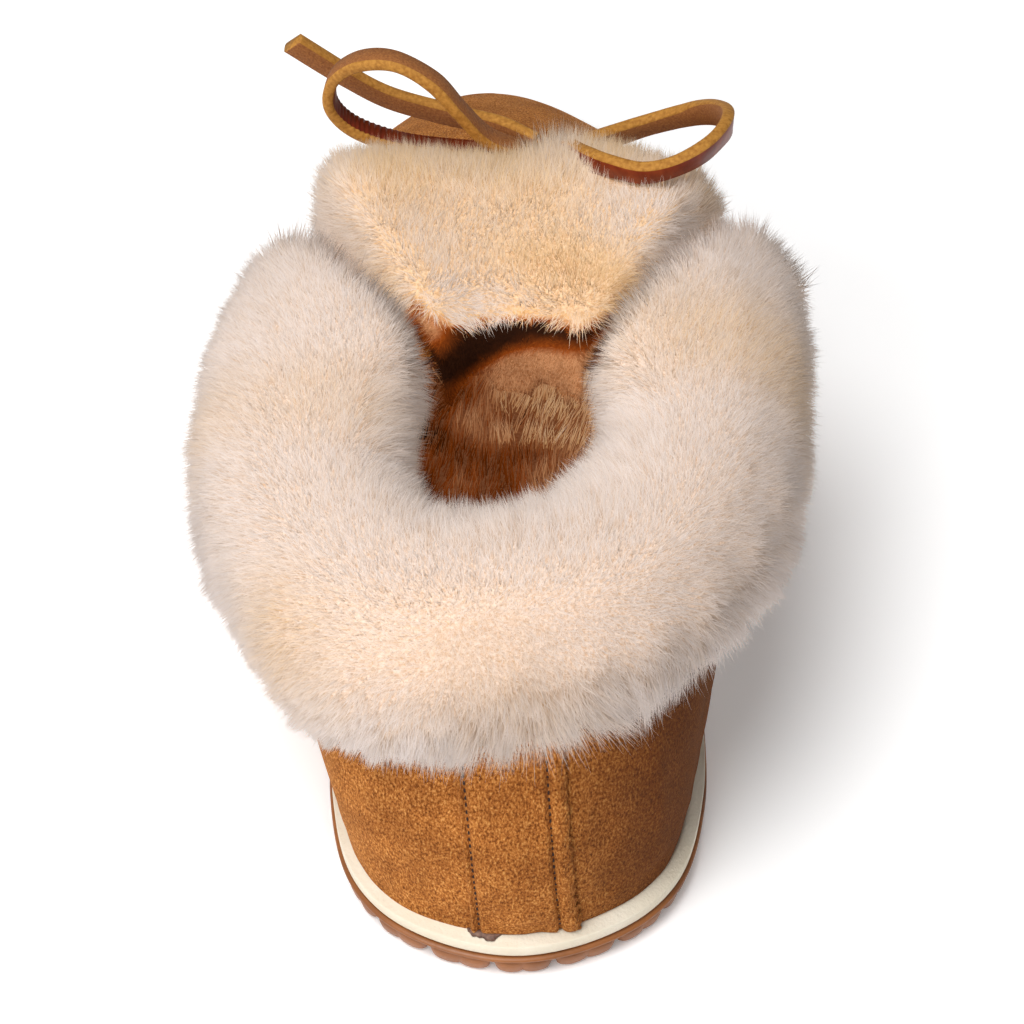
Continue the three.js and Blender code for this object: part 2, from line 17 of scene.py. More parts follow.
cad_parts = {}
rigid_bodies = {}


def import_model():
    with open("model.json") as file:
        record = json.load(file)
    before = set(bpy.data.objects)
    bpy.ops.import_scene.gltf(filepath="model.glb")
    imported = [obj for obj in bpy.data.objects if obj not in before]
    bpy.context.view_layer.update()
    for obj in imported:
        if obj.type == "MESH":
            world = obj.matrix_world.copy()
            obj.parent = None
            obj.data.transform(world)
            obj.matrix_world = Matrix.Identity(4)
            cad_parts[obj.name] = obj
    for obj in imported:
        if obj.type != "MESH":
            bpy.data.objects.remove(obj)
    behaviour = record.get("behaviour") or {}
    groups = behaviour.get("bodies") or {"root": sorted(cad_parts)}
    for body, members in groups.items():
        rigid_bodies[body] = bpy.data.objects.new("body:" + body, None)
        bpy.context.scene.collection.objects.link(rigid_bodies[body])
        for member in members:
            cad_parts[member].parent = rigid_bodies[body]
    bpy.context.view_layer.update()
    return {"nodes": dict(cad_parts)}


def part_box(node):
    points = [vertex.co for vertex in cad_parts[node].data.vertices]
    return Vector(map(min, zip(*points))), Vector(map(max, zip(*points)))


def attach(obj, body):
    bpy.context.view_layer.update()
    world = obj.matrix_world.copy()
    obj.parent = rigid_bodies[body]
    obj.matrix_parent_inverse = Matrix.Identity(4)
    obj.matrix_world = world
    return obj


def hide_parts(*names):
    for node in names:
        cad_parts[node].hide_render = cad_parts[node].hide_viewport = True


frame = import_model()
MM = 0.001
print("frame nodes:", ", ".join(sorted(frame["nodes"])))

# %% [markdown]
# ## Where the last stands
# The solids were worked out in a shoemaker's frame, with the middle of the heel at x = 0 and its back
# at y = 0. The lace's knot has a known place in it, so the knot's box tells how far that frame was moved.

# %% The last's own frame
KNOT = np.array([6.5, 150.6, 83.5])
knot_low, knot_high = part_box("lace_knot")
OFFSET = np.array((knot_low + knot_high) / 2) / MM - KNOT
OFFSET[2] = 0.0


def place(points):
    """Points of the last's frame in millimetres, as points of the scene in metres."""
    return (np.asarray(points, float) + OFFSET) * MM


print("the last's frame is moved by", OFFSET.round(2), "mm")

# %% [markdown]
# ## Colours, nodes and meshes
# Colours are written as sRGB hex, the way a paint chart gives them, and turned to linear light once.
# Meshes come from arrays, because a fleece has hundreds of thousands of corners and a loop over them
# in Python would take minutes.

# %% Helpers for colour and nodes


def linear(colour):
    """An sRGB hex colour as the linear values that a shader holds."""
    shares = np.array([int(colour[i:i + 2], 16) for i in (1, 3, 5)]) / 255
    bright = ((shares + 0.055) / 1.055) ** 2.4
    return [*np.where(shares <= 0.04045, shares / 12.92, bright), 1.0]


def add(tree, kind, inputs=(), stops=(), **settings):
    """A shader node with its settings, its inputs (a value, or a socket to link) and a ramp's stops."""
    node = tree.nodes.new("ShaderNode" + kind)
    for name, value in settings.items():
        setattr(node, name, value)
    for name, value in dict(inputs).items():
        if isinstance(value, bpy.types.NodeSocket):
            tree.links.new(value, node.inputs[name])
        else:
            node.inputs[name].default_value = value
    for i, (at, colour) in enumerate(stops):
        ramp = node.color_ramp.elements
        stop = ramp[i] if i < 2 else ramp.new(at)
        stop.position = at
        stop.color = linear(colour)
    return node


def surface(name, **sockets):
    """A material with one Principled shader, and the tree to draw its patterns in."""
    material = bpy.data.materials.new(name)
    material.use_nodes = True
    tree = material.node_tree
    shader = tree.nodes["Principled BSDF"]
    for socket, value in sockets.items():
        shader.inputs[socket.replace("_", " ")].default_value = value
    return material, tree, shader


def specks(tree, where, size, detail=2.0, roughness=0.5):
    """A noise value with specks about size millimetres wide."""
    inputs = {"Vector": where, "Scale": 1 / (size * MM), "Detail": detail, "Roughness": roughness}
    return add(tree, "TexNoise", inputs).outputs["Fac"]


def ramped(tree, share, *stops):
    """A colour from a ramp, whose two ends come first."""
    return add(tree, "ValToRGB", {"Fac": share}, stops=stops).outputs["Color"]


def multiplied(tree, colour, by):
    """One colour dimmed by another."""
    mix = add(tree, "Mix", {"Factor": 1.0, 6: colour, 7: by}, data_type="RGBA", blend_type="MULTIPLY")
    return mix.outputs[2]


def raised(tree, shader, height, strength, depth):
    """Relief of some millimetres' depth that only bends the light."""
    bump = add(tree, "Bump", {"Strength": strength, "Distance": depth * MM, "Height": height})
    tree.links.new(bump.outputs["Normal"], shader.inputs["Normal"])


def speckled(name, roughness, ior, size, detail, stops, relief=None):
    """A material in tones of specks; relief gives the strength and the depth of their bump."""
    material, tree, shader = surface(name, Roughness=roughness, IOR=ior)
    share = specks(tree, add(tree, "TexCoord").outputs["Object"], size, detail)
    tree.links.new(ramped(tree, share, *stops), shader.inputs["Base Color"])
    if relief:
        raised(tree, shader, share, *relief)
    return material


# %% Helpers for meshes


def ring_faces(rows, columns, closed=False):
    """Quads of a grid whose columns run round in a ring; closed joins the last row to the first."""
    row = np.arange(rows if closed else rows - 1)[:, None]
    column = np.arange(columns)[None, :]
    above, beside = (row + 1) % rows, (column + 1) % columns
    corners = [(row, column), (row, beside), (above, beside), (above, column)]
    return np.stack([r * columns + c for r, c in corners], -1).reshape(-1, 4)


def lids(rows, columns):
    """The two end faces of such a grid."""
    ring = np.arange(columns)[None]
    return [ring[:, ::-1], (rows - 1) * columns + ring]


def piece(name, points, faces, materials, marks=None, coordinates=None, chart="UVMap"):
    """A smooth mesh that rides on the slipper. marks gives each face's material, coordinates its UVs."""
    sets = [np.asarray(f, np.int32) for f in (faces if isinstance(faces, list) else [faces])]
    corners = np.concatenate([f.ravel() for f in sets])
    sizes = np.concatenate([np.full(len(f), f.shape[1]) for f in sets])
    mesh = bpy.data.meshes.new(name)
    mesh.vertices.add(len(points))
    mesh.vertices.foreach_set("co", np.asarray(points, np.float32).ravel())
    mesh.loops.add(len(corners))
    mesh.loops.foreach_set("vertex_index", corners)
    mesh.polygons.add(len(sizes))
    starts = np.concatenate([[0], np.cumsum(sizes)[:-1]])
    mesh.polygons.foreach_set("loop_start", starts.astype(np.int32))
    for material in materials:
        mesh.materials.append(material)
    if marks is not None:
        mesh.polygons.foreach_set("material_index", np.asarray(marks, np.int32))
    if coordinates is not None:
        layer = mesh.uv_layers.new(name=chart)
        layer.data.foreach_set("uv", np.asarray(coordinates, np.float32)[corners].ravel())
    mesh.update(calc_edges=True)
    mesh.shade_smooth()
    made = bpy.data.objects.new(name, mesh)
    bpy.context.scene.collection.objects.link(made)
    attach(made, "root")
    return made


def unit(vectors):
    """Vectors of length one."""
    return vectors / np.maximum(np.linalg.norm(vectors, axis=-1, keepdims=True), 1e-12)


def ripple(points, size, seed, waves=7):
    """A soft random height from about -1 to 1, with humps some size millimetres wide."""
    draw = np.random.default_rng(seed)
    turn = unit(draw.normal(size=(waves, 3))) * (math.pi / size) * draw.uniform(0.6, 1.4, (waves, 1))
    return np.sin(points @ turn.T + draw.uniform(0, 2 * math.pi, waves)).sum(-1) / math.sqrt(waves)


print("helpers ready")

# %% [markdown]
# ## Camera, floor and light
# The photo looks down at the back of the slipper, 42 degrees above the floor, through a long lens. The
# camera was fitted to sizes of the solids: it stands 0.7 m from a point inside the slipper. A white
# floor, a dim even sky, a soft lamp high on the left and a wide weak one lower on the same side give
# the pale studio, the darker right side of the heel, which painted shade in the suede deepens, and the
# soft shadow beside it.

# %% Camera
AIM = place([0, 90, 45])
DISTANCE, ELEVATION = 0.7, math.radians(42)
FOCAL, PICTURE = 3448, 1024  # focal length and width of the picture, in pixels
PITCH, YAW = math.radians(0.35), math.radians(0.083)  # the aim lies a little above the picture's middle
eye = Vector(AIM) + Vector((0, -math.cos(ELEVATION), math.sin(ELEVATION))) * DISTANCE
lens = bpy.data.cameras.new("camera")
lens.sensor_width = 36
lens.lens = FOCAL / PICTURE * lens.sensor_width
camera = bpy.data.objects.new("camera", lens)
camera.location = eye
camera.rotation_euler = (math.pi / 2 - ELEVATION - PITCH, 0, YAW)
bpy.context.scene.collection.objects.link(camera)
bpy.context.scene.camera = camera
print("camera at", [round(x, 3) for x in eye], "lens", round(lens.lens, 1), "mm")

# %% Floor and light
WHITE = linear("#FFFFFF")
FLOOR_HALF = 3.0
FLOOR_GLOW, SKY_LIGHT = 0.16, 0.22  # the floor's own faint glow keeps it white out of the shadow
scene = bpy.context.scene
scene.view_settings.view_transform = "Standard"
floor_paint, _, _ = surface("painted_studio_floor", Base_Color=WHITE, Roughness=0.9, Emission_Color=WHITE,
                            Emission_Strength=FLOOR_GLOW)
floor_mesh = bpy.data.meshes.new("floor")
floor_corners = [(FLOOR_HALF * x, FLOOR_HALF * y, 0) for x, y in ((-1, -1), (1, -1), (1, 1), (-1, 1))]
floor_mesh.from_pydata(floor_corners, [], [(0, 1, 2, 3)])
floor_mesh.materials.append(floor_paint)
floor = bpy.data.objects.new("floor", floor_mesh)
scene.collection.objects.link(floor)

sky = bpy.data.worlds.new("studio")
sky.use_nodes = True
sky.node_tree.nodes["Background"].inputs["Color"].default_value = WHITE
sky.node_tree.nodes["Background"].inputs["Strength"].default_value = SKY_LIGHT
scene.world = sky

# Each lamp: place, size across and power in watts.
LAMPS = {
    "key": ((-0.5, -0.75, 2.0), 1.2, 38.0),
    "fill": ((-0.9, -1.45, 0.9), 1.3, 12.5),
}
for name, (spot, size, power) in LAMPS.items():
    light = bpy.data.lights.new(name, "AREA")
    light.shape = "DISK"
    light.size, light.energy = size, power
    lamp = bpy.data.objects.new(name, light)
    lamp.location = spot
    lamp.rotation_euler = (Vector(AIM) - Vector(spot)).to_track_quat("-Z", "Y").to_euler()
    scene.collection.objects.link(lamp)
print("lamps:", ", ".join(LAMPS))

# %% [markdown]
# ## The last's curves
# Sole, upper and collar follow a few short tables, as in the solids: a place on the sole's outline, a
# place on the collar, and a curved rib of the wall between them. Catmull-Rom curves run through the
# rows. Here they are worked out for whole arrays at once, so that the visible skin can be much finer
# than the solids.

# %% Tables of the last, in millimetres
LENGTH, HEEL_WIDTH, BALL_WIDTH = 268, 75, 97
HEEL_HEIGHT, INSTEP_HEIGHT = 80, 77
WALL, GAP = 2.0, 0.3
OUTSOLE_TOP, LUG_HEIGHT = 5.4, 3.0
MIDSOLE_BASE = OUTSOLE_TOP + GAP
MIDSOLE_SHOULDER = MIDSOLE_BASE + 3
MIDSOLE_RIM = MIDSOLE_SHOULDER + 1
FOOTBED = MIDSOLE_RIM - 2.5
FEATHER_INSET = 4.4
COLLAR_X, COLLAR_Y, COLLAR_WIDE, COLLAR_LONG = -1, 58, 33, 42

# Round the sole from the heel by the outer side: share of the length, and millimetres across.
OUTLINE = np.array([
    (0, 0), (0.045, 0.36 * HEEL_WIDTH), (0.15, 0.5 * HEEL_WIDTH), (0.36, 0.4 * BALL_WIDTH),
    (0.64, 0.505 * BALL_WIDTH), (0.86, 0.39 * BALL_WIDTH), (0.965, 0.17 * BALL_WIDTH),
    (1, -0.06 * BALL_WIDTH), (0.965, -0.28 * BALL_WIDTH), (0.87, -0.44 * BALL_WIDTH),
    (0.68, -0.495 * BALL_WIDTH), (0.4, -0.37 * BALL_WIDTH), (0.16, -0.49 * HEEL_WIDTH),
    (0.045, -0.36 * HEEL_WIDTH),
])
# For each of those places: angle on the collar, swell and rise at the sole, spread and drop at the
# collar, and how straight the rib heads for its foot.
RIBS = np.array([
    (-90, 7.5, 23, 13, 22, 0), (-62, 7.5, 23, 15, 21, 0), (-28, 7, 22, 18, 20, 0),
    (22, 6.5, 22, 19, 19, 0.2), (56, 4, 23, 50, 13, 0.9), (74, 3, 23, 68, 17, 1),
    (84, 2, 22, 74, 19, 1), (90, 2, 22, 75, 19, 1), (97, 2, 23, 74, 18, 1),
    (108, 3, 25, 66, 16, 1), (125, 4, 25, 50, 13, 0.9), (156, 7.5, 22, 21, 19, 0.2),
    (207, 9, 22, 21, 20, 0), (242, 8.5, 23, 17, 21, 0),
])

# %% Curves through the tables


def spline(a, b, c, d, f):
    """Catmull-Rom between b and c."""
    bend = (2 * a - 5 * b + 4 * c - d) * f * f + (3 * b - a - 3 * c + d) * f ** 3
    return b + 0.5 * ((c - a) * f + bend)


def around(values, t, turn=0):
    """A column's value at a share t of the way round; turn is what one whole round adds."""
    count = len(values)
    spot = np.asarray(t, float) * count
    first = np.floor(spot).astype(int)
    near = [values[(first + i) % count] + turn * np.floor((first + i) / count) for i in (-1, 0, 1, 2)]
    return spline(*near, spot - first)


def floor_lift(y):
    """How far toe spring and arch lift the tread."""
    along = y / LENGTH
    toe = np.maximum(0, along - 0.7) / 0.3
    waist = np.clip((along - 0.3) / 0.28, 0, 1)
    return 6 * toe ** 2 + 2.2 * np.sin(math.pi * waist) ** 2


def outline(t):
    return np.stack([around(OUTLINE[:, 1], t), LENGTH * around(OUTLINE[:, 0], t)], -1)


def outline_normal(t):
    run = outline(t + 1e-3) - outline(t - 1e-3)
    return unit(np.stack([run[..., 1], -run[..., 0]], -1))


def edge(t, inset, height):
    """Points of the sole's edge, inset and at a height above the tread."""
    flat = outline(t) - np.asarray(inset)[..., None] * outline_normal(t)
    lifted = height + floor_lift(flat[..., 1])
    return np.concatenate([flat, lifted[..., None]], -1)


def collar(angle):
    """Points of the collar's fold."""
    a = np.radians(angle)
    height = HEEL_HEIGHT + (INSTEP_HEIGHT - HEEL_HEIGHT) * (0.5 + 0.5 * np.sin(a))
    return np.stack([COLLAR_X + COLLAR_WIDE * np.cos(a), COLLAR_Y + COLLAR_LONG * np.sin(a), height], -1)


def rib(t, v):
    """Points of the upper's outside: t round the sole, v from the sole (0) to the fold (1)."""
    angle, swell, rise, spread, drop, aim = (
        around(RIBS[:, i], t, 360 if i == 0 else 0)[..., None] for i in range(6)
    )
    angle = angle[..., 0]
    foot = edge(t, FEATHER_INSET, FOOTBED + GAP)
    fold = collar(angle)
    flat = np.array([1, 1, 0])
    a = np.radians(angle)
    square = unit(np.stack([np.cos(a) / COLLAR_WIDE, np.sin(a) / COLLAR_LONG, 0 * a], -1))
    leave = unit(square + (unit((foot - fold) * flat) - square) * aim)
    out = np.concatenate([outline_normal(t), np.zeros((*np.shape(t), 1))], -1)
    up = np.array([0, 0, 1])
    low = foot + out * swell + up * rise
    high = fold + leave * spread - up * drop
    v = np.asarray(v, float)[..., None]
    w = 1 - v
    return w ** 3 * foot + 3 * w * w * v * low + 3 * w * v * v * high + v ** 3 * fold


def wall(t, v, off=0.0):
    """Points of the upper's wall, moved out by off, and the directions out of it."""
    nudge = 1e-3
    along = rib(t + nudge, v) - rib(t - nudge, v)
    up = rib(t, np.minimum(v + nudge, 1)) - rib(t, np.maximum(v - nudge, 0))
    out = unit(np.cross(along, up))
    return rib(t, v) + out * np.asarray(off, float)[..., None], out


print("toe of the upper at", place(rib(np.array(0.5), np.array(0.3))).round(3))

# %% [markdown]
# ## Suede
# The upper is the flesh side of a sheepskin, buffed with fine grit until a short nap stands up. The
# nap scatters light with no gloss, goes lighter or darker where it was last stroked, and shows as fine
# pale and dark specks. A sheen stands for the nap's bright rim at grazing light. The real nap is
# about 0.2 mm long and is drawn as 0.4 mm specks so that it shows at this distance.

# %% Material: buffed suede
suede, tree, shader = surface("buffed_suede", Roughness=0.92, IOR=1.45, Specular_IOR_Level=0.15,
                              Sheen_Weight=0.2, Sheen_Roughness=0.45, Sheen_Tint=linear("#F0A860"))
where = add(tree, "TexCoord").outputs["Object"]
brushed = add(tree, "Mapping", {"Vector": where, "Scale": (1.0, 1.0, 0.6)}).outputs["Vector"]
nap = specks(tree, brushed, size=0.42, detail=3.0, roughness=0.65)
grain = ramped(tree, nap, (0.33, "#64310D"), (0.7, "#E4A860"), (0.46, "#A05E28"), (0.55, "#BE7838"))
shade = ramped(tree, specks(tree, where, size=9.0), (0.3, "#DCD5CE"), (0.62, "#FFFFFF"))
# On the outer side of the heel the suede is darkened with painted shade, for the side that is turned
# away from the lamps. These are the places, in metres, between which that comes in.
HEEL_MIDDLE, HEEL_OUTER, HEEL_FRONT, HEEL_BACK = 0.0, 0.034, 0.05, -0.09
heel_place = add(tree, "SeparateXYZ", {"Vector": where})
shares = []
for axis, first, last in (("X", HEEL_MIDDLE, HEEL_OUTER), ("Y", HEEL_FRONT, HEEL_BACK)):
    inputs = {"Value": heel_place.outputs[axis], "From Min": first, "From Max": last}
    shares.append(add(tree, "MapRange", inputs, interpolation_type="SMOOTHSTEP").outputs["Result"])
painted_shade_share = add(tree, "Math", dict(enumerate(shares)), operation="MULTIPLY").outputs["Value"]
# Painted shade on the heel's outer side, from none to full.
painted_heel_shade = ramped(tree, painted_shade_share, (0.0, "#FFFFFF"), (1.0, "#8A7361"))
tree.links.new(multiplied(tree, multiplied(tree, grain, shade), painted_heel_shade), shader.inputs["Base Color"])
raised(tree, shader, nap, strength=0.8, depth=0.5)
print("material:", suede.name)

# %% [markdown]
# ## The upper
# The wall is a grid: columns round the sole and rows up to the fold, with the leather's thickness
# behind it. Soft leather is never quite even: it presses out over the sole's rim, has low humps, and
# shows a few creases beside the back seam and over the ball of the foot, which are listed one by one.
# The plain numbers in the formulas are millimetres, or shares of the height.

# %% Upper
COLUMNS, ROWS, BACK_ROWS = 240, 46, 8
t_ring = np.arange(COLUMNS) / COLUMNS
# Creases across the heel and down the sides: place round the sole low down and high up, depth and
# width in millimetres, and the shares of the height between which they run.
CREASES = [
    (0.047, 0.04, 0.55, 3.2, 0.05, 0.6), (0.078, 0.086, -0.5, 5.0, 0.1, 0.7),
    (-0.058, -0.066, 0.5, 4.0, 0.05, 0.7), (-0.1, -0.095, -0.45, 6.0, 0.1, 0.6),
    (0.125, 0.15, 0.6, 5.0, 0.1, 0.8), (-0.15, -0.17, 0.6, 5.0, 0.1, 0.8),
]
ROUND = 660  # the whole way round the sole
# Flex creases over the ball of the foot: length along the last, depth and width in millimetres.
FLEX = [(172, 0.7, 3.0), (184, 0.9, 3.5), (198, 0.6, 3.0)]


def relief(flat, t, v):
    """How far the leather stands out from the last's wall: pressed out over the sole's rim, and creased."""
    around_heel = (t + 0.5) % 1 - 0.5
    under_strip = np.exp(-(around_heel / 0.02) ** 4)
    over_rim = (1.0 - 14 * np.clip(around_heel, -0.06, 0) - 0.8 * under_strip) * np.exp(-(v / 0.13) ** 2)
    drawn_in = 2.0 * np.exp(-((around_heel - 0.17) / 0.09) ** 2) * np.clip((v - 0.15) / 0.25, 0, 1)
    soft = np.sin(math.pi * np.clip(v * 1.4, 0, 1))
    low_band = np.exp(-((v - 0.1) / 0.08) ** 2)
    height = over_rim - drawn_in + 0.3 * soft * ripple(flat, 24, 3) + 0.2 * low_band * ripple(flat, 5, 4)
    for low, high, depth, width, start, end in CREASES:
        line = low + (high - low) * v
        fade = np.sin(math.pi * np.clip((v - start) / (end - start), 0, 1))
        height = height - depth * fade * np.exp(-((around_heel - line) * ROUND / width) ** 2)
    for along, depth, width in FLEX:
        bowed = flat[..., 1] - along + 0.004 * flat[..., 0] ** 2
        height = height - depth * np.clip((v - 0.25) / 0.2, 0, 1) * np.exp(-(bowed / width) ** 2)
    return height


def upper_shell(t, rows, back):
    """Points of the wall's outside from the sole up, then of its inside from the fold down."""
    grid_t, grid_v = np.meshgrid(t, np.linspace(0, 1, rows))
    flat, out = wall(grid_t, grid_v)
    front = flat + out * relief(flat, grid_t, grid_v)[..., None]
    back_t, back_v = np.meshgrid(t, np.linspace(1, 0, back))
    bare, inward = wall(back_t, back_v)
    behind = bare + inward * (relief(bare, back_t, back_v) - WALL)[..., None]
    return np.concatenate([front, behind]).reshape(-1, 3)


upper = piece("upper_suede", place(upper_shell(t_ring, ROWS, BACK_ROWS)),
              ring_faces(ROWS + BACK_ROWS, COLUMNS, closed=True), [suede])
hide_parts("upper")
print("upper:", len(upper.data.polygons), "quads")

# %% [markdown]
# ## The strip at the back of the heel
# A strip of the same suede covers the back seam. Both edges are cut, not turned: the left one is sewn
# close to its edge, the right one laps further over and shows a crumbly raw edge. The strip is a thin
# slab that follows the wall; along each line of stitches it is pulled down into a groove.

# %% Heel strip
STRIP_LOW, STRIP_TOP, STRIP_THICK = 0.04, 0.8, 0.9
# Across the heel in millimetres, at the sole and up at the cuff.
EDGE_LEFT, EDGE_RIGHT = (-7.9, -11.9), (12.0, 8.2)
SEAM_LEFT, SEAM_RIGHT = (-6.6, -10.6), (8.3, 4.9)
HEEL_REACH, HALVINGS = 0.12, 30  # share of the way round that is searched to each side of the heel


def lean(pair, v):
    """A line's place across the heel at height share v."""
    return pair[0] + (pair[1] - pair[0]) * (v - STRIP_LOW) / (STRIP_TOP - STRIP_LOW)


def heel_t(x, v):
    """The place round the sole where the heel's wall crosses x, by halving."""
    low, high = np.full(np.shape(x), -HEEL_REACH), np.full(np.shape(x), HEEL_REACH)
    for _ in range(HALVINGS):
        middle = (low + high) / 2
        short = rib(middle, v)[..., 0] < x
        low, high = np.where(short, middle, low), np.where(short, high, middle)
    return (low + high) / 2


def strip_surface(x, v):
    """Points of the strip's outside at x across the heel, the wall below them and the way out."""
    t = heel_t(x, v)
    bare, out = wall(t, v)
    ground = relief(bare, t, v)
    left, right = x - lean(EDGE_LEFT, v), lean(EDGE_RIGHT, v) - x
    share = np.clip(left / (left + right), 0, 1)
    crumbs = 0.28 * np.exp(-(right / 1.6) ** 2) * ripple(bare, 0.9, 17)
    crumbs += 0.1 * np.exp(-(left / 1.2) ** 2) * ripple(bare, 1.2, 18)
    edge_round = np.sqrt(np.clip(np.minimum(left, right) / 0.5, 0, 1))
    lap = 0.5 * np.exp(-((right - 1.7) / 1.2) ** 2) + 0.1 * np.exp(-((left - 0.8) / 0.7) ** 2)
    groove = sum(np.exp(-((x - lean(seam, v)) / 0.5) ** 2) for seam in (SEAM_LEFT, SEAM_RIGHT))
    swell = np.clip(v * 5, 0, 0.5) * np.sin(math.pi * share) - 0.35 * np.exp(-((share - 0.62) / 0.1) ** 2)
    height = STRIP_THICK * (0.25 + 0.6 * edge_round) + swell + lap + crumbs - 1.0 * groove
    return bare + out * (ground + GAP + height)[..., None], bare + out * (ground + 0.1)[..., None], out


STRIP_ROWS, STRIP_COLUMNS, STRIP_TALL = 110, 72, 60
strip_v = np.linspace(STRIP_LOW, STRIP_TOP, STRIP_ROWS)
grid_v, grid_a = np.meshgrid(strip_v, np.linspace(0, 1, STRIP_COLUMNS), indexing="ij")
up_strip = np.stack([strip_v * STRIP_TALL] * 3, -1)
left_edge = lean(EDGE_LEFT, strip_v) + 0.15 * ripple(up_strip, 1.2, 51)
right_edge = lean(EDGE_RIGHT, strip_v) + 0.4 * ripple(up_strip, 1.1, 52)
strip_x = left_edge[:, None] + (right_edge - left_edge)[:, None] * grid_a
front, behind, _ = strip_surface(strip_x, grid_v)
loop = np.concatenate([front, behind[:, ::-1]], 1)
grid = STRIP_ROWS, loop.shape[1]
faces = [ring_faces(*grid), *lids(*grid)]
strip = piece("heel_strip_suede", place(loop.reshape(-1, 3)), faces, [suede])
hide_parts("heel_strip")
print("heel strip:", len(strip.data.polygons), "faces")

# %% [markdown]
# ## Stitches
# The strip is sewn with waxed dark brown thread, about six stitches to the centimetre. Each stitch is
# a small grain of thread lying in the groove, thick in the middle and diving into the leather at both
# ends. One grain's shape is copied along both seams in arrays and joined into one mesh.

# %% Stitches
# Waxed thread gives short dark grains, a little lighter where the plies turn up.
thread = speckled("waxed_polyester_thread", roughness=0.8, ior=1.5, size=0.4, detail=1.0,
                  stops=[(0.35, "#1C0C05"), (0.7, "#3C2010")])
STITCH, STITCH_GAP, THREAD = 1.6, 0.05, 0.46


def run_along(line):
    """The way run from a line's start to each of its points."""
    return np.concatenate([[0], np.cumsum(np.linalg.norm(np.diff(line, axis=0), axis=1))])


def at_run(at, run, values):
    """Values of a line's points, after other ways run."""
    return np.stack([np.interp(at, run, values[:, i]) for i in range(3)], -1)


def stitch_row(seam):
    """Centres, directions along the seam and directions out of the leather, for one seam's stitches."""
    v = np.linspace(STRIP_LOW + 0.01, STRIP_TOP, 400)
    line, _, out = strip_surface(lean(seam, v), v)
    run = run_along(line)
    at = np.arange(STITCH, run[-1] - STITCH, STITCH + STITCH_GAP)
    centres, outward = at_run(at, run, line), unit(at_run(at, run, out))
    heading = unit(np.gradient(centres, axis=0))
    slant = np.random.default_rng(12).normal(0, 0.14, len(at))[:, None]
    return centres, unit(heading + slant * np.cross(outward, heading)), outward


def thread_grains(centres, heading, outward):
    """Six-sided grains of thread, five rings each."""
    sideways = unit(np.cross(outward, heading))
    rings, sides = np.linspace(-1, 1, 5), np.radians(np.arange(0, 360, 60))
    points = []
    for s in rings:
        fat = THREAD * math.sqrt(max(0.12, 1 - s * s)) * 0.8
        middle = centres + heading * (s * STITCH / 2) - outward * (0.3 * s * s)
        points.append(np.stack([
            middle + fat * (math.cos(a) * sideways + 0.75 * math.sin(a) * outward) for a in sides
        ], 1))
    points = np.stack(points, 1)
    faces = ring_faces(len(rings), len(sides))
    size = len(rings) * len(sides)
    every = (np.arange(len(centres)) * size)[:, None, None] + faces
    return points.reshape(-1, 3), every.reshape(-1, 4)


seams = [stitch_row(SEAM_LEFT), stitch_row(SEAM_RIGHT)]
rows = [np.concatenate(parts) for parts in zip(*seams)]
points, faces = thread_grains(*rows)
piece("heel_stitches", place(points), faces, [thread])
print("stitches:", len(rows[0]))

# %% [markdown]
# ## Sole
# The sole has two layers. The cream midsole is moulded foam with a soft upright band and a sloped rim;
# its skin shows the fine pebble of the mould. The outsole is gum rubber: translucent amber brown,
# slightly shiny, with a thin lip along its top edge and blocks round the rim, each with two scallops.
# Both are rings of the outline stacked upwards, so the bands stay even round the whole foot.

# %% Materials: moulded foam and gum rubber
# Foam gives a matt cream band that the mould's pebble keeps from looking like plastic.
foam, tree, shader = surface("moulded_eva_foam", Roughness=0.85, IOR=1.48)
where = add(tree, "TexCoord").outputs["Object"]
tone = ramped(tree, specks(tree, where, size=16.0), (0.3, "#E2D6BF"), (0.7, "#EEE5D2"))
tree.links.new(tone, shader.inputs["Base Color"])
raised(tree, shader, specks(tree, where, size=0.8), strength=0.5, depth=0.4)

# Gum rubber gives a warm brown with a soft shine, broken up by the unevenness of its skin.
gum, tree, shader = surface("moulded_gum_rubber", Roughness=0.42, IOR=1.52)
where = add(tree, "TexCoord").outputs["Object"]
tone = ramped(tree, specks(tree, where, size=12.0, detail=3.0), (0.3, "#7E4B24"), (0.7, "#9C6030"))
tree.links.new(tone, shader.inputs["Base Color"])
skin = specks(tree, where, size=1.1)
gloss = add(tree, "MapRange", {"Value": skin, "To Min": 0.34, "To Max": 0.56})
tree.links.new(gloss.outputs["Result"], shader.inputs["Roughness"])
raised(tree, shader, skin, strength=0.12, depth=0.4)
print("materials:", foam.name, gum.name)

# %% Midsole
SOLE_COLUMNS = 300
t_sole = np.arange(SOLE_COLUMNS) / SOLE_COLUMNS


def plate(rings):
    """Points and faces of a plate from (inset, height) rings stacked upwards, closed across the foot."""
    points = np.concatenate([edge(t_sole, np.full(SOLE_COLUMNS, inset), h) for inset, h in rings])
    count, top = SOLE_COLUMNS, (len(rings) - 1) * SOLE_COLUMNS
    i = np.arange(1, count // 2 - 1)
    across = np.stack([i, i + 1, count - i - 1, count - i], -1)
    tips = np.array([[0, 1, count - 1], [count // 2 - 1, count // 2, count // 2 + 1]])
    faces = [ring_faces(len(rings), count), top + across, top + tips, across[:, ::-1], tips[:, ::-1]]
    return points, faces


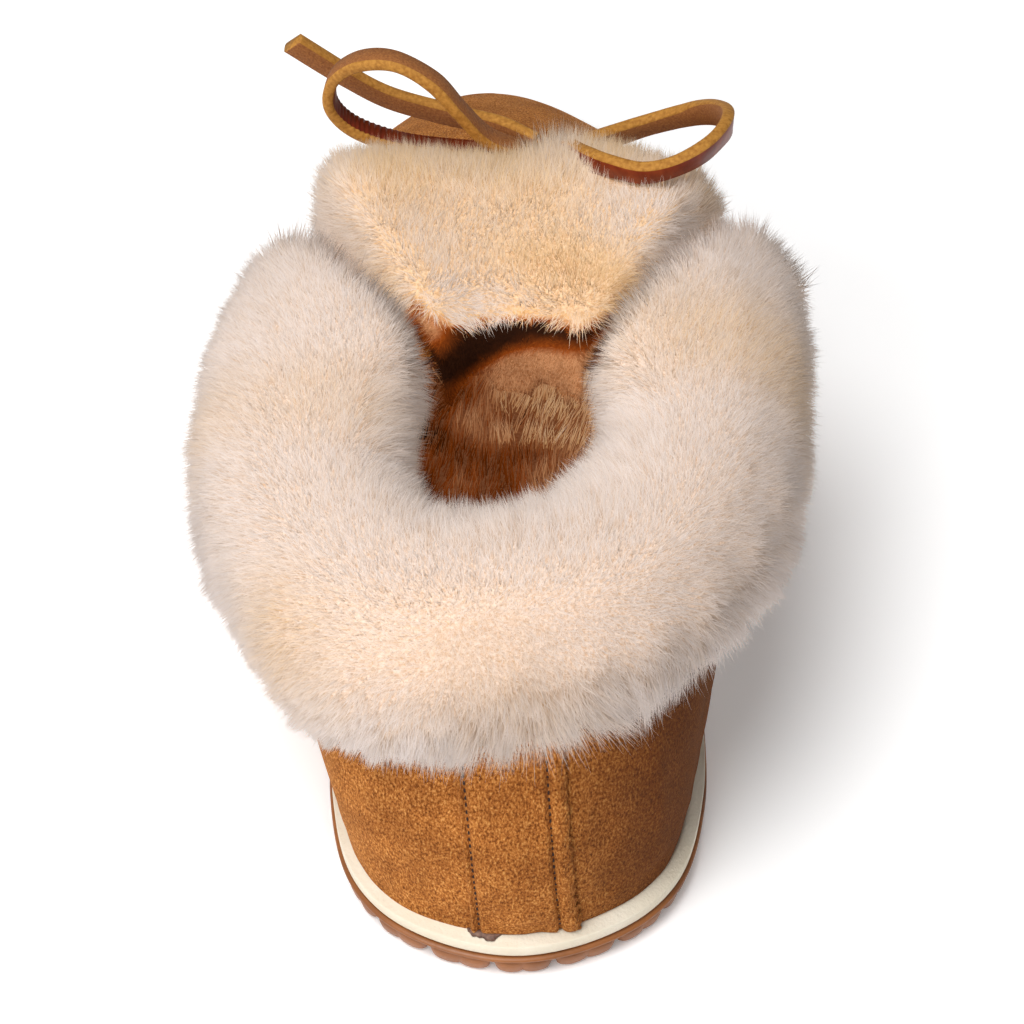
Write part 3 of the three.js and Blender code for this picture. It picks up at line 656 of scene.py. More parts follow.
# Inset from the outline and height above the tread, from the bottom of the band to the footbed.
MIDSOLE_RINGS = [
    (0.9, MIDSOLE_BASE), (0.35, MIDSOLE_BASE + 0.25), (0.12, MIDSOLE_BASE + 0.7),
    (0.02, MIDSOLE_SHOULDER - 0.5), (0.04, MIDSOLE_SHOULDER - 0.16), (0.16, MIDSOLE_SHOULDER - 0.04),
    (0.34, MIDSOLE_SHOULDER), (1.4, MIDSOLE_SHOULDER + 0.48), (2.3, MIDSOLE_RIM - 0.08),
    (2.6, MIDSOLE_RIM), (2.9, MIDSOLE_RIM - 0.12), (3.0, MIDSOLE_RIM - 0.4), (3.0, FOOTBED),
]
points, faces = plate(MIDSOLE_RINGS)
midsole = piece("midsole_foam", place(points), faces, [foam])
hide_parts("midsole")
print("midsole:", len(midsole.data.polygons), "faces")

# %% A flake of dried cement under the strip
# Cement gives a dull brown crumb on the cream rim, where the strip was stuck down.
cement = speckled("dried_shoe_cement", roughness=0.6, ior=1.5, size=0.8, detail=2.0,
                  stops=[(0.3, "#4A2C20"), (0.7, "#80604E")])
FLAKE_STEPS = 30
# Corners of its section: share of its spread over the rim, and lift in millimetres.
FLAKE_SECTION = ((-0.3, 0.1), (-0.2, 0.45), (0.5, 0.5), (1.0, 0.4), (1.15, 0.1), (0.5, -0.1))
flake_x = np.linspace(-8.8, -2.4, FLAKE_STEPS)
flake_t = heel_t(flake_x, np.full(FLAKE_STEPS, 0.03))
spread = 1.4 * np.sin(math.pi * np.linspace(0, 1, FLAKE_STEPS)) ** 0.6
spread += 0.25 * ripple(flake_x[:, None] * [1, 1, 1], 1.2, 61)
flake_loop = [edge(flake_t, 2.4 - share * spread, MIDSOLE_RIM + lift - 0.3 * share * spread)
              for share, lift in FLAKE_SECTION]
points = np.stack(flake_loop, 1).reshape(-1, 3)
grid = FLAKE_STEPS, len(FLAKE_SECTION)
flake = piece("cement_flake", place(points), [ring_faces(*grid), *lids(*grid)], [cement])
print("flake:", len(flake.data.polygons), "faces")

# %% Outsole
LUG_COUNT, LUG_SHARE, LUG_START, LUG_STEPS = 32, 0.95, 0.35, 25
BAR_PLACES = (0.12, 0.19, 0.26, 0.56, 0.62, 0.68, 0.74, 0.8, 0.86)
BAR_WIDTH, BAR_INSET, BAR_POINT = 8, 14, 4
# Inset of the outer face, inset of the inner face, trim of both ends as a share, and height of a ring.
LUG_RINGS = [
    (1.9, 8.8, 0.13, 0), (1.1, 9.2, 0.07, 0.25), (0.6, 9.6, 0.03, 1.0), (0.2, 10, 0.01, 2.4),
    (0.1, 10, 0, 3.6), (0.9, 10, 0, 4.4),
]
OUTSOLE_RINGS = [
    (1.4, LUG_HEIGHT), (0.7, LUG_HEIGHT + 0.3), (0.4, OUTSOLE_TOP - 1.1), (-0.1, OUTSOLE_TOP - 0.9),
    (-0.4, OUTSOLE_TOP - 0.7), (-0.45, OUTSOLE_TOP - 0.4), (-0.2, OUTSOLE_TOP - 0.1), (0.4, OUTSOLE_TOP),
]


def capped(loops):
    """Points and faces of a block from loops stacked upwards."""
    grid = len(loops), len(loops[0])
    return np.concatenate(loops), [ring_faces(*grid), *lids(*grid)]


def edge_lug(start):
    """A block at the rim with two scallops, start blocks round from the heel."""
    loops = []
    for outer, inner, trim, h in LUG_RINGS:
        share = np.linspace(0, 1, LUG_STEPS)
        t = (start + (trim + (1 - 2 * trim) * share) * LUG_SHARE) / LUG_COUNT
        scallop = 0.5 * (1 - np.abs(np.sin(2 * math.pi * share)) ** 0.5) * (h < 4)
        rounded = outer + scallop + 0.7 * (2 * np.abs(share - 0.5)) ** 8
        lifted = h + 0.35 * (1 - np.abs(np.sin(2 * math.pi * share)) ** 0.4) * (h < 1)
        loops.append(np.concatenate([edge(t, rounded, lifted), edge(t[::-1], np.full(LUG_STEPS, inner), h)]))
    return capped(loops)


def cross_bar(along):
    """A bar across the tread, bent forward in its middle."""
    y = along * LENGTH
    rim_points = outline(np.linspace(0, 1, 801))
    level = rim_points[np.abs(rim_points[:, 1] - y) < 1.5, 0]
    right, left = level.max() - BAR_INSET, level.min() + BAR_INSET
    loops = []
    for shrink, h in ((1.2, 0), (0.5, 0.3), (0, 0.9), (0, LUG_HEIGHT + 0.6)):
        half, middle = BAR_WIDTH / 2 - shrink, (left + right) / 2
        x = np.array([right - shrink, right - shrink, middle, left + shrink, left + shrink, middle])
        dy = np.array([-half, half, BAR_POINT + half, half, -half, BAR_POINT - half])
        loops.append(np.stack([x, y + dy, h + floor_lift(y + dy)], -1))
    return capped(loops)


blocks = [plate(OUTSOLE_RINGS)]
blocks += [edge_lug(i - LUG_START) for i in range(LUG_COUNT)]
blocks += [cross_bar(along) for along in BAR_PLACES]
points, faces, start = [], [], 0
for block_points, block_faces in blocks:
    points.append(block_points)
    faces += [f + start for f in block_faces]
    start += len(block_points)
outsole = piece("outsole_gum", place(np.concatenate(points)), faces, [gum])
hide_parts("outsole")
print("outsole:", len(outsole.data.polygons), "faces")

# %% [markdown]
# ## Lace
# The lace is cut from one strip of oiled leather, 5.4 mm wide and 2.4 mm thick. Its three kinds of
# face tell them apart: a smooth red-brown grain side with a shine, a rough tan flesh side, and raw
# ochre edges. A strip is swept along each route, and the section's sides carry the three materials.

# %% Materials: oiled leather
grain_side, tree, shader = surface("oiled_leather_grain", Roughness=0.42, IOR=1.45, Specular_IOR_Level=0.35)
inputs = {"Vector": add(tree, "UVMap").outputs["UV"], "Scale": 2.5, "Detail": 3.0, "Roughness": 0.6}
creased = add(tree, "TexNoise", inputs).outputs["Fac"]
tone = ramped(tree, creased, (0.3, "#661E08"), (0.7, "#8E3A12"), (0.5, "#7A2A0A"))
tree.links.new(tone, shader.inputs["Base Color"])
raised(tree, shader, creased, strength=0.1, depth=0.4)
flesh_side = speckled("oiled_leather_flesh", roughness=0.85, ior=1.45, size=0.45, detail=3.0,
                      stops=[(0.3, "#824B22"), (0.7, "#A86C36")], relief=(0.5, 0.4))
cut_edge = speckled("oiled_leather_cut_edge", roughness=0.8, ior=1.45, size=0.8, detail=3.0,
                    stops=[(0.3, "#9A641F"), (0.7, "#C18838")], relief=(0.4, 0.3))
LACE_SIDES = [flesh_side, cut_edge, grain_side]
print("materials:", ", ".join(m.name for m in LACE_SIDES))

# %% Lace routes, in the last's frame
LACE_WIDTH, LACE_THICK = 5.4, 2.4
# Each piece: the way its width lies, which face looks out (1 flesh, -1 grain) and its route.
LACES = {
    "loop_left": ((0.1, 0.98, -0.1), -1, [
        (1, 150, 86), (-6, 148, 91), (-11.5, 147, 98.5), (-17, 148, 105), (-24.5, 150, 108.5),
        (-32, 153, 106.5), (-37.4, 156, 100.5), (-38.6, 157.5, 93), (-34.5, 158.5, 86.5),
        (-26, 158.5, 82.5), (-14, 157.5, 81), (-2, 155, 82)]),
    "loop_right": ((0, -0.35, 0.94), 1, [
        (10, 152.8, 83.2), (17.2, 159, 82.2), (27.2, 163.5, 82.8), (36, 162, 86.6), (40.6, 156.5, 91.3),
        (43, 147.5, 96.7), (42.3, 138, 100.5), (38.2, 130, 101.3), (32, 126, 100.1), (25.5, 125.5, 98.7),
        (19.2, 128.5, 98.1), (14.5, 134, 95.9), (11.6, 142.5, 91.2), (9, 150.4, 85)]),
    "end_left": ((0.1, -0.3, 0.95), -1, [
        (4.5, 154.6, 84.5), (-4.5, 161, 84.5), (-16, 166.5, 84), (-27, 168, 86.8), (-36, 168, 92.5),
        (-46.5, 166, 102)]),
    "end_right": ((0, -0.35, 0.94), 1, [
        (6, 153.5, 79.4), (14, 163.5, 76.6), (25.5, 171.5, 76), (39.5, 176, 77)]),
}


def route_line(points, step=0.8):
    """Even steps along a smooth curve through a route's points."""
    knots = np.array(points, float)
    padded = np.concatenate([[2 * knots[0] - knots[1]], knots, [2 * knots[-1] - knots[-2]]])
    f = np.linspace(0, 1, 40, endpoint=False)[:, None]
    spans = [spline(*padded[i:i + 4, None], f) for i in range(len(knots) - 1)]
    fine = np.concatenate([*spans, knots[-1:]])
    run = run_along(fine)
    return at_run(np.linspace(0, run[-1], int(run[-1] / step) + 1), run, fine), run[-1]


def lace_section():
    """Corners of the flat section from the flesh side round, and each side's material."""
    w, h, c = LACE_WIDTH / 2, LACE_THICK / 2, 0.35
    corners = [(w - c, h), (0, h + 0.06), (c - w, h), (-w, h - c), (-w - 0.08, 0), (-w, c - h),
               (c - w, -h), (0, -h - 0.04), (w - c, -h), (w, c - h), (w + 0.08, 0), (w, h - c)]
    return np.array(corners), np.array([0, 0, 1, 1, 1, 1, 2, 2, 1, 1, 1, 1])


def swept(line, broad, over, turned):
    """Points, faces and marks of the section swept along a line; turned runs round it the other way."""
    corners, marks = lace_section()
    if turned:
        corners, marks = corners[::-1], np.roll(marks[::-1], -1)
    count, sides = len(line), len(corners)
    points = line[:, None] + corners[:, 0, None] * broad[:, None] + corners[:, 1, None] * over[:, None]
    uv = np.stack([np.tile(np.linspace(0, 1, sides), count), np.repeat(run_along(line) / 10, sides)], -1)
    marks = np.concatenate([np.tile(marks, count - 1), [1, 1]])
    return points, [ring_faces(count, sides), *lids(count, sides)], marks, uv


print("routes:", ", ".join(LACES))

# %% [markdown]
# The knot is one turn of the same lace round the crossing: a short flat strip bent into a ring, with
# its two ends overlapping.

# %% Knot
KNOT_WIDE, KNOT_TALL, KNOT_SHIFT = 3.3, 3.4, 1.2  # half sizes of the turn, and how far it winds sideways


def laid_flat(line, width_way):
    """Directions along a lace, and across it as near to the way that its width lies as it can be."""
    heading = unit(np.gradient(line, axis=0))
    return heading, unit(np.array(width_way) - (heading @ np.array(width_way))[:, None] * heading)


turn = np.radians(np.linspace(-20, 380, 60))
wound = [KNOT_SHIFT * np.sin(turn * 0.5), KNOT_WIDE * np.cos(turn), KNOT_TALL * np.sin(turn)]
ring_line = KNOT + np.stack(wound, -1)
heading, broad = laid_flat(ring_line, (1, 0.2, 0))
points, faces, marks, uv = swept(ring_line, broad, np.cross(broad, heading), True)
knot = piece("leather_knot", place(points.reshape(-1, 3)), faces, LACE_SIDES, marks, uv)
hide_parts("lace_knot")
print("knot:", len(knot.data.polygons), "faces")

# %% [markdown]
# The grain of the left loop is pressed together on the inside of its bend, so it stands up there in
# small cross folds, about 1.3 mm apart.

# %% Lace pieces
FOLDS, NO_FOLDS = {"loop_left": (0.58, 0.84)}, (2, 3)  # shares of the route; past its end for none
FOLD_HIGH, FOLD_APART, LACE_STEP = 0.13, 1.3, 0.32
for number, (name, (width_way, outside, route)) in enumerate(LACES.items()):
    line, length = route_line(route, LACE_STEP)
    heading, broad = laid_flat(line, width_way)
    over = np.cross(heading, broad) * outside
    points, faces, marks, uv = swept(line, broad, over, outside > 0)
    share = np.linspace(0, 1, len(line))
    points += (points - line[:, None]) * (0.035 * ripple(line, 7, 40 + number))[:, None, None]
    start, stop = FOLDS.get(name, NO_FOLDS)
    fade = np.sin(math.pi * np.clip((share - start) / (stop - start), 0, 1))
    fold = FOLD_HIGH * np.sin(2 * math.pi * share * length / FOLD_APART) * fade
    inner = ((points - line[:, None]) * over[:, None]).sum(-1) < -0.6 * LACE_THICK / 2
    points -= inner[..., None] * (fold[:, None] * over)[:, None]
    points = place(points.reshape(-1, 3))
    made = piece("leather_" + name, points, faces, LACE_SIDES, marks, uv)
    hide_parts("lace_" + name)
    print(name, "length", round(length, 1), "mm")

# %% [markdown]
# ## Wool
# Shearling is a skin with its wool clipped to an even pile. From outside it is a soft body with fine
# hairs standing out of it; the pile is pale at the tips and warmer where light has passed through
# more wool. Particle hair would look the part but can't be kept as a mesh, so the pile is made in
# arrays: a smooth body inside each solid, and many thousands of thin three-sided spikes on it.
# Each spike leans with the way the wool is combed, and gathers a little towards its neighbours, as
# locks do. One UV map holds all that colours a hair: across is its tint, up is root to tip.

# %% Materials: clipped wool


def wool_surface(name, glow=0.18):
    """A wool material with its tint from the UV map, and what stands for the depth in the pile."""
    material, tree, shader = surface(name, Roughness=0.9, IOR=1.55, Specular_IOR_Level=0.1,
                                     Emission_Strength=glow)
    where = add(tree, "SeparateXYZ", {"Vector": add(tree, "UVMap").outputs["UV"]})
    tint = ramped(tree, where.outputs["X"], (0.0, "#E3D7D2"), (1.0, "#160802"), (0.25, "#DFCAB8"),
                  (0.42, "#E2BF92"), (0.6, "#C99A70"), (0.8, "#8A420F"))
    depth = add(tree, "ValToRGB", {"Fac": where.outputs["Y"]}, stops=[(0.0, "#CDB595"), (0.7, "#FFFFFF")])
    tone = multiplied(tree, tint, depth.outputs["Color"])
    tree.links.new(tone, shader.inputs["Base Color"])
    # Light wanders through many hairs before it comes back; a faint glow of their colour stands for that.
    tree.links.new(tone, shader.inputs["Emission Color"])
    return material, tree, shader, depth


wool = wool_surface("clipped_sheep_wool")[0]
# Inside the slipper most light has come through other wool, so the painted glow that stands for that is
# stronger there.
inner_wool = wool_surface("inner_sheep_wool_painted_glow", glow=0.6)[0]
# Under the tips the pile is so dense that single hairs are lost; fine specks stand for their ends.
underwool, tree, shader, depth = wool_surface("dense_sheep_underwool")
ends = specks(tree, add(tree, "TexCoord").outputs["Object"], size=0.7, roughness=0.6)
inputs = {"Value": ends, "From Min": 0.3, "From Max": 0.7, "To Min": 0.15, "To Max": 0.75}
speck = add(tree, "MapRange", inputs)
tree.links.new(speck.outputs["Result"], depth.inputs["Fac"])
raised(tree, shader, ends, strength=0.4, depth=0.6)
print("materials:", wool.name, inner_wool.name, underwool.name)

# %% Helpers for wool
ROOT, TIP, BODY_DEPTH = 0.01, 0.99, 0.3  # up the UV map: a hair's ends, and the body under the hairs


def soft_body(name, node, inset, voxel, smooth):
    """The solid of a node, melted to a smooth closed body that stands inset millimetres inside it."""
    body = bpy.data.objects.new(name, frame["nodes"][node].data.copy())
    scene.collection.objects.link(body)
    for i, shrink in enumerate((0, inset)):
        if shrink:
            push = body.modifiers.new("inset", "DISPLACE")
            push.strength, push.mid_level = -shrink * MM, 0
        melt = body.modifiers.new(f"melt {i}", "REMESH")
        melt.mode, melt.voxel_size = "VOXEL", voxel * MM
    relax = body.modifiers.new("relax", "SMOOTH")
    relax.factor, relax.iterations = 0.5, smooth
    evaluated = body.evaluated_get(bpy.context.evaluated_depsgraph_get())
    mesh = bpy.data.meshes.new_from_object(evaluated)
    points = np.empty(len(mesh.vertices) * 3)
    mesh.vertices.foreach_get("co", points)
    mesh.calc_loop_triangles()
    triangles = np.empty(len(mesh.loop_triangles) * 3, np.int32)
    mesh.loop_triangles.foreach_get("vertices", triangles)
    bpy.data.objects.remove(body)
    return points.reshape(-1, 3), triangles.reshape(-1, 3)


def point_normals(points, triangles):
    """Normals of a mesh's points and areas of its triangles."""
    corners = points[triangles]
    flat = np.cross(corners[:, 1] - corners[:, 0], corners[:, 2] - corners[:, 0])
    total = np.zeros_like(points)
    for i in range(3):
        np.add.at(total, triangles[:, i], flat)
    return unit(total), np.linalg.norm(flat, axis=1) / 2


def scatter(points, triangles, count, rng, keep=None):
    """Random places on a mesh, even by area, with their normals; keep weighs the triangles."""
    normals, area = point_normals(points, triangles)
    if keep is not None:
        area = area * keep
    chosen = rng.choice(len(triangles), count, p=area / area.sum())
    a, b = rng.random((2, count, 1))
    turned = a + b > 1
    a, b = np.where(turned, 1 - a, a), np.where(turned, 1 - b, b)
    first, second, third = triangles[chosen].T
    at, way = (f[first] * (1 - a - b) + f[second] * a + f[third] * b for f in (points, normals))
    return at, unit(way)


def nearest_in(points):
    """A finder of the nearest of some points."""
    finder = KDTree(len(points))
    for i, point in enumerate(points):
        finder.insert(point, i)
    finder.balance()
    return finder


def comb(roots, normals, flow, length, fuzz, lock, clump, rng):
    """Tips of hairs that stand out, lean with the flow and gather towards the tip of their lock."""
    along = flow - (flow * normals).sum(1, keepdims=True) * normals
    way = unit(normals + along + rng.normal(0, fuzz, roots.shape))
    tips = roots + way * (length * MM)[:, None]
    cells = np.floor(roots / (lock * MM)).astype(int)
    _, seeds = np.unique(cells, axis=0, return_index=True)
    finder = nearest_in(roots[seeds])
    owner = seeds[np.array([finder.find(root)[1] for root in roots])]
    return tips + (tips[owner] - tips) * (clump * rng.random(len(roots)))[:, None]


def hairs(name, roots, tips, normals, thick, tint, slot, rng, coat=wool):
    """One mesh of three-sided spikes from roots to tips, shaded as the fleece that they stand on."""
    axis = tips - roots
    side = unit(np.cross(axis, rng.normal(size=axis.shape)))
    other = unit(np.cross(axis, side))
    turns = np.radians([0, 120, 240])
    ring = [roots + (thick * MM)[:, None] * (math.cos(a) * side + math.sin(a) * other) for a in turns]
    points = np.stack([*ring, tips], 1).reshape(-1, 3)
    faces = 4 * np.arange(len(roots))[:, None, None] + np.array([[0, 1, 3], [1, 2, 3], [2, 0, 3]])
    up_hair = np.tile([ROOT, ROOT, ROOT, TIP], len(roots))
    uv = np.stack([np.repeat(np.clip(tint, ROOT, TIP), 4), up_hair], -1)
    made = piece(name, points, faces.reshape(-1, 3), [coat], None, uv, "OFBake")
    shaded = unit(normals + 0.2 * unit(axis) + rng.normal(0, 0.1, normals.shape))
    made.data.normals_split_custom_set_from_vertices(np.repeat(shaded, 4, axis=0))
    # Light passes through thin wool, so only the dense wool under the hairs casts a shadow.
    made.visible_shadow = False
    print(name, len(roots), "hairs")
    return made


def body_piece(name, points, triangles, tint):
    """The soft body itself, coloured as wool half way down its pile."""
    uv = np.stack([np.clip(tint, ROOT, TIP), np.full(len(points), BODY_DEPTH)], -1)
    return piece(name, points, triangles, [underwool], None, uv)


def ease(value, low, high):
    """0 below low, 1 above high and a straight slope between."""
    return np.clip((value - low) / (high - low), 0, 1)


print("wool helpers ready")

# %% [markdown]
# ## The cuff
# The collar is folded down wool side out. Its wool stands up like plush along the fold. Inside it leans
# into the mouth, outside it falls over the sides and the heel and ends in a ragged hem of longer
# locks. Hairs that would point into the upper's wall are left out. Angles run round the collar in
# degrees: 0 is the outer side, 90 the instep, 180 the inner side and -90 the heel. Tints run from 0,
# almost white, to 1, almost black.

# %% Cuff: its body and where things are on it
CENTRE = place([COLLAR_X, COLLAR_Y, 0])
upper_tree = BVHTree.FromObject(upper, bpy.context.evaluated_depsgraph_get())


def clear_of_wall(points, triangles, reach):
    """Which triangles look away from the upper's wall."""
    normals, _ = point_normals(points, triangles)
    middles = points[triangles].mean(1)
    facing = unit(normals[triangles].mean(1))
    return np.array([upper_tree.ray_cast(Vector(m), Vector(n), reach * MM)[0] is None
                     for m, n in zip(middles, facing)], float)


def fold_place(points):
    """How far points stand out from the fold, how far above it, the way out and the angle on the collar."""
    flat = (points - CENTRE)[:, :2] / MM
    angle = np.degrees(np.arctan2(flat[:, 1] / COLLAR_LONG, flat[:, 0] / COLLAR_WIDE))
    ray = np.concatenate([unit(flat), np.zeros((len(points), 1))], 1)
    fold = collar(angle)
    out = np.linalg.norm(flat, axis=1) - np.linalg.norm(fold[:, :2] - [COLLAR_X, COLLAR_Y], axis=1)
    return out, points[:, 2] / MM - fold[:, 2], ray, angle


def swirl(points, flow, normals, amount, size, seed):
    """The flow turned a little to and fro about the normals, in patches."""
    turn = (amount * ripple(points / MM, size, seed))[:, None]
    return flow * np.cos(turn) + np.cross(normals, flow) * np.sin(turn)


DOWN = np.array([0, 0, -1.0])
PILE_INSET, VOXEL, CUFF_RELAX = 3.0, 2.4, 10
cuff_points, cuff_triangles = soft_body("cuff_body", "cuff", PILE_INSET, VOXEL, CUFF_RELAX)
out, above, ray, angle = fold_place(cuff_points)
# The hem is drawn up behind on the outer side, and less on the inner side.
drawn_up = 0.42 * np.exp(-((angle + 48) / 26) ** 2) + 0.17 * np.exp(-((angle + 148) / 16) ** 2)
cuff_points[:, 2] += drawn_up * np.clip(-above - 4, 0, None) * MM
inside = ease(-out, 4, 14) * ease(-above, -6, 8)
cuff_body = body_piece("cuff_fleece", cuff_points, cuff_triangles, 0.22 + 0.5 * inside)
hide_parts("cuff")
print("cuff body:", len(cuff_triangles), "triangles")

# %% Cuff: its wool
rng = np.random.default_rng(21)
CUFF_HAIRS = 188000
HAIR_REACH, LOCK = 7, 5.0  # how far hairs may need room, and how wide a lock is
keep = clear_of_wall(cuff_points, cuff_triangles, HAIR_REACH)
roots, normals = scatter(cuff_points, cuff_triangles, CUFF_HAIRS, rng, keep)
out, above, ray, angle = fold_place(roots)
inner_side = np.clip(1.5 - np.abs((angle + 360) % 360 - 225) / 30, 0, 1)
heel_side = np.exp(-((angle + 75) / 32) ** 2)
hem = ease(0.35 - normals[:, 2], 0, 0.7) * (out > 4)
rim = ease(-out, 1, 8) * ease(above, -6, 4)
cut_end = ease(normals[:, 1], 0.2, 0.7) * (np.abs(angle - 90) < 75) * (out > -2)
outside = np.clip((out - 4) / 14, -1, 1)[:, None]
falling = 0.05 + 0.1 * np.abs(outside) + 0.9 * hem[:, None]
flow = ray * (outside * 0.15 - 0.3 * rim[:, None]) + DOWN * falling
flow += np.array([0, 0.2, 0.9]) * cut_end[:, None]
flow = swirl(roots, flow, normals, amount=0.7, size=15, seed=5)
length = rng.uniform(3.2, 5.4, CUFF_HAIRS) + cut_end * rng.uniform(0, 6.5, CUFF_HAIRS)
length += rim * rng.uniform(0.5, 4, CUFF_HAIRS)
ragged = rng.uniform(0.2, 5.0, CUFF_HAIRS) * (1 - 0.8 * inner_side)
length += hem * (ragged + 7.5 * heel_side * rng.random(CUFF_HAIRS))
clump = 0.25 + 0.6 * hem + 0.3 * rim
sunk = roots - normals * MM
tips = comb(sunk, normals, flow, length, fuzz=0.32, lock=LOCK, clump=clump, rng=rng)
inside = ease(-out, 5, 15) * ease(-above, -4, 8)
straw = np.clip(ripple(roots / MM, 26, 6), 0, 1.5)
cuff_tint = 0.12 + 0.11 * straw + rng.normal(0, 0.05, CUFF_HAIRS) + 0.6 * inside - 0.08 * hem
thick = rng.uniform(0.09, 0.15, CUFF_HAIRS)
# Three meshes, by the angle round the collar: the heel, the outer side and the inner side.
turned = (angle + 90) % 360
group = np.where(np.abs((turned + 180) % 360 - 180) < 62, 0, np.where(turned < 180, 1, 2))
for number, name in enumerate(("cuff_wool_heel", "cuff_wool_outer", "cuff_wool_inner")):
    mine = [values[group == number] for values in (sunk, tips, normals, thick, cuff_tint)]
    hairs(name, *mine, "cuff_wool", rng)

# %% [markdown]
# ## The tongue
# The tongue is turned forward over the vamp, between the cuff's ends. Its wool is warmer and straw
# coloured in the middle, parts in a swirl, hangs over the front of the mouth in pale wisps, and at
# its front edge it is long and almost white, so that the knot of the lace sinks into it.

# %% Tongue: its body and the painted shade under it
rng = np.random.default_rng(22)
TONGUE_INSET, TONGUE_RELAX = PILE_INSET - 0.6, 28
tongue_points, tongue_triangles = soft_body("tongue_body", "tongue", TONGUE_INSET, VOXEL, TONGUE_RELAX)
# Where the painted shade under the tongue ends: across the mouth, and above the fold.
DARK_ACROSS, DARK_ABOVE = (-17.8, -9, -0.9, 5.9, 14.3), (-3.5, 0.9, 5.5, 7.5, 8.3)
BROW, BROW_CORNER = 9.6, 3.2  # where the brow begins above the fold, and how much higher in the inner corner
# Under the brow the dark tint is painted shade, and the share taken off it is painted light.
STRAW, TAN, PAINTED_LIGHT = 0.36, 0.66, 0.33  # tints, and what light takes off the dark one


def under_tongue(points, out, above):
    """Which wool lies under the brow, and its tint: painted shade in the recess, and tan painted light where
    light falls in.
    """
    across = points[:, 0] / MM - OFFSET[0]
    brow_line = BROW + BROW_CORNER * np.exp(-((across + 18) / 5) ** 2)
    under = ease(brow_line - above, -0.4, 0.4) * (out < 4)
    below = np.interp(across, DARK_ACROSS, DARK_ABOVE) - above
    tint = 1.0 - PAINTED_LIGHT * ease(below, 0, 4) * ease(across, -18, -3)
    corner = np.exp(-((across + 17) / 4.2) ** 2 - ((above - 10) / 4) ** 2)
    return under, tint + (TAN - tint) * corner


out, above, _, _ = fold_place(tongue_points)
under, painted_light_and_shade_tint = under_tongue(tongue_points, out, above)
# Under the brow the body takes the painted shade and light.
body_tint = STRAW + (painted_light_and_shade_tint - STRAW) * under
tongue_body = body_piece("tongue_fleece", tongue_points, tongue_triangles, body_tint)
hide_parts("tongue")
print("tongue body:", len(tongue_triangles), "triangles")

# %% Tongue: its wool
keep = clear_of_wall(tongue_points, tongue_triangles, HAIR_REACH)
keep *= (above > -9)[tongue_triangles].all(1) | (out > 4)[tongue_triangles].all(1)
TONGUE_HAIRS = 58000
roots, normals = scatter(tongue_points, tongue_triangles, TONGUE_HAIRS, rng, keep)
out, above, _, _ = fold_place(roots)
across = roots[:, 0] / MM - OFFSET[0]
under, painted_light_and_shade_tint = under_tongue(roots, out, above)
brow = ease(-out, -6, 0) * (1 - under)
front = ease(out, 22, 40)
side = ease(-across, 26, 36)
at_knot = np.exp(-((across - 8) / 8) ** 2)
parting = place([1.0, 124, 96])
away = unit((roots - parting) * [1, 1, 0])
rising = np.array([0, 0.4, 0.9]) * front[:, None]
flow = 0.2 * away + rising + DOWN * (0.05 + 0.9 * brow[:, None])
flow = swirl(roots, flow, normals, amount=0.6, size=16, seed=9)
length = rng.uniform(3.4, 5.6, TONGUE_HAIRS) - 2.2 * under
length += brow * rng.uniform(0, 3.5, TONGUE_HAIRS)
length += front * rng.uniform(0.2, 3, TONGUE_HAIRS) * (1 + 2 * at_knot)
clump = 0.3 + 0.45 * brow + 0.2 * front
sunk = roots - normals * MM
tips = comb(sunk, normals, flow, length, fuzz=0.3, lock=LOCK, clump=clump, rng=rng)
tongue_tint = 0.32 + 0.09 * ripple(roots / MM, 22, 12) + rng.normal(0, 0.04, TONGUE_HAIRS)
tongue_tint -= 0.14 * brow + 0.2 * front * at_knot + 0.12 * side
# Under the brow the hairs take the painted shade and light.
tongue_tint += (painted_light_and_shade_tint - tongue_tint) * under
thick = rng.uniform(0.08, 0.14, TONGUE_HAIRS)
# Wool under the right loop is pressed flat: hairs that would cross the lace are left out.
LACE_ROOM, AT_START, AT_KNOT = 2.8 * MM, 4, 28  # room beside the lace, and steps left out at its ends
lace_line = place(route_line(LACES["loop_right"][2])[0])[AT_START:-AT_KNOT]
finder = nearest_in(lace_line)
crossing = np.array([min(finder.find(tip)[2], finder.find((root + 2 * tip) / 3)[2]) < LACE_ROOM
                     for root, tip in zip(roots, tips)])
groups = {"tongue_wool": (under < 0.5) & ~crossing, "tongue_wool_inside": under >= 0.5}
for name, chosen in groups.items():
    mine = [values[chosen] for values in (sunk, tips, normals, thick, tongue_tint)]
    hairs(name, *mine, "tongue_wool", rng, inner_wool if "inside" in name else wool)

# %% [markdown]
# ## Lining and insole
# The skin's own wool lines the upper inside, tan and flattened by the foot, and a wool footbed lies on
# the sole. Only what the mouth shows is seen, but both are whole.

# %% Lining
rng = np.random.default_rng(23)
LINING_ROWS, LINING_COLUMNS, LINING_PILE, LINING_HAIRS = 26, 140, 3.2, 22000
LINING_TINT, INSOLE_TINT, TRODDEN_LOCK = 0.75, 0.66, 6.0
round_sole, up_wall = np.arange(LINING_COLUMNS) / LINING_COLUMNS, np.linspace(0.1, 0.99, LINING_ROWS)
lining_t, lining_v = np.meshgrid(round_sole, up_wall)
flat, out = wall(lining_t, lining_v)
humps = 0.7 * ripple(flat, 12, 31)
lining_points = place(flat - out * (WALL + GAP + LINING_PILE + humps)[..., None]).reshape(-1, 3)
lining_quads = ring_faces(LINING_ROWS, LINING_COLUMNS)[:, ::-1]
lining_triangles = np.concatenate([lining_quads[:, [0, 1, 2]], lining_quads[:, [0, 2, 3]]])
body_tint = np.full(len(lining_points), LINING_TINT)
body_piece("lining_fleece", lining_points, lining_triangles, body_tint)
roots, normals = scatter(lining_points, lining_triangles, LINING_HAIRS, rng)
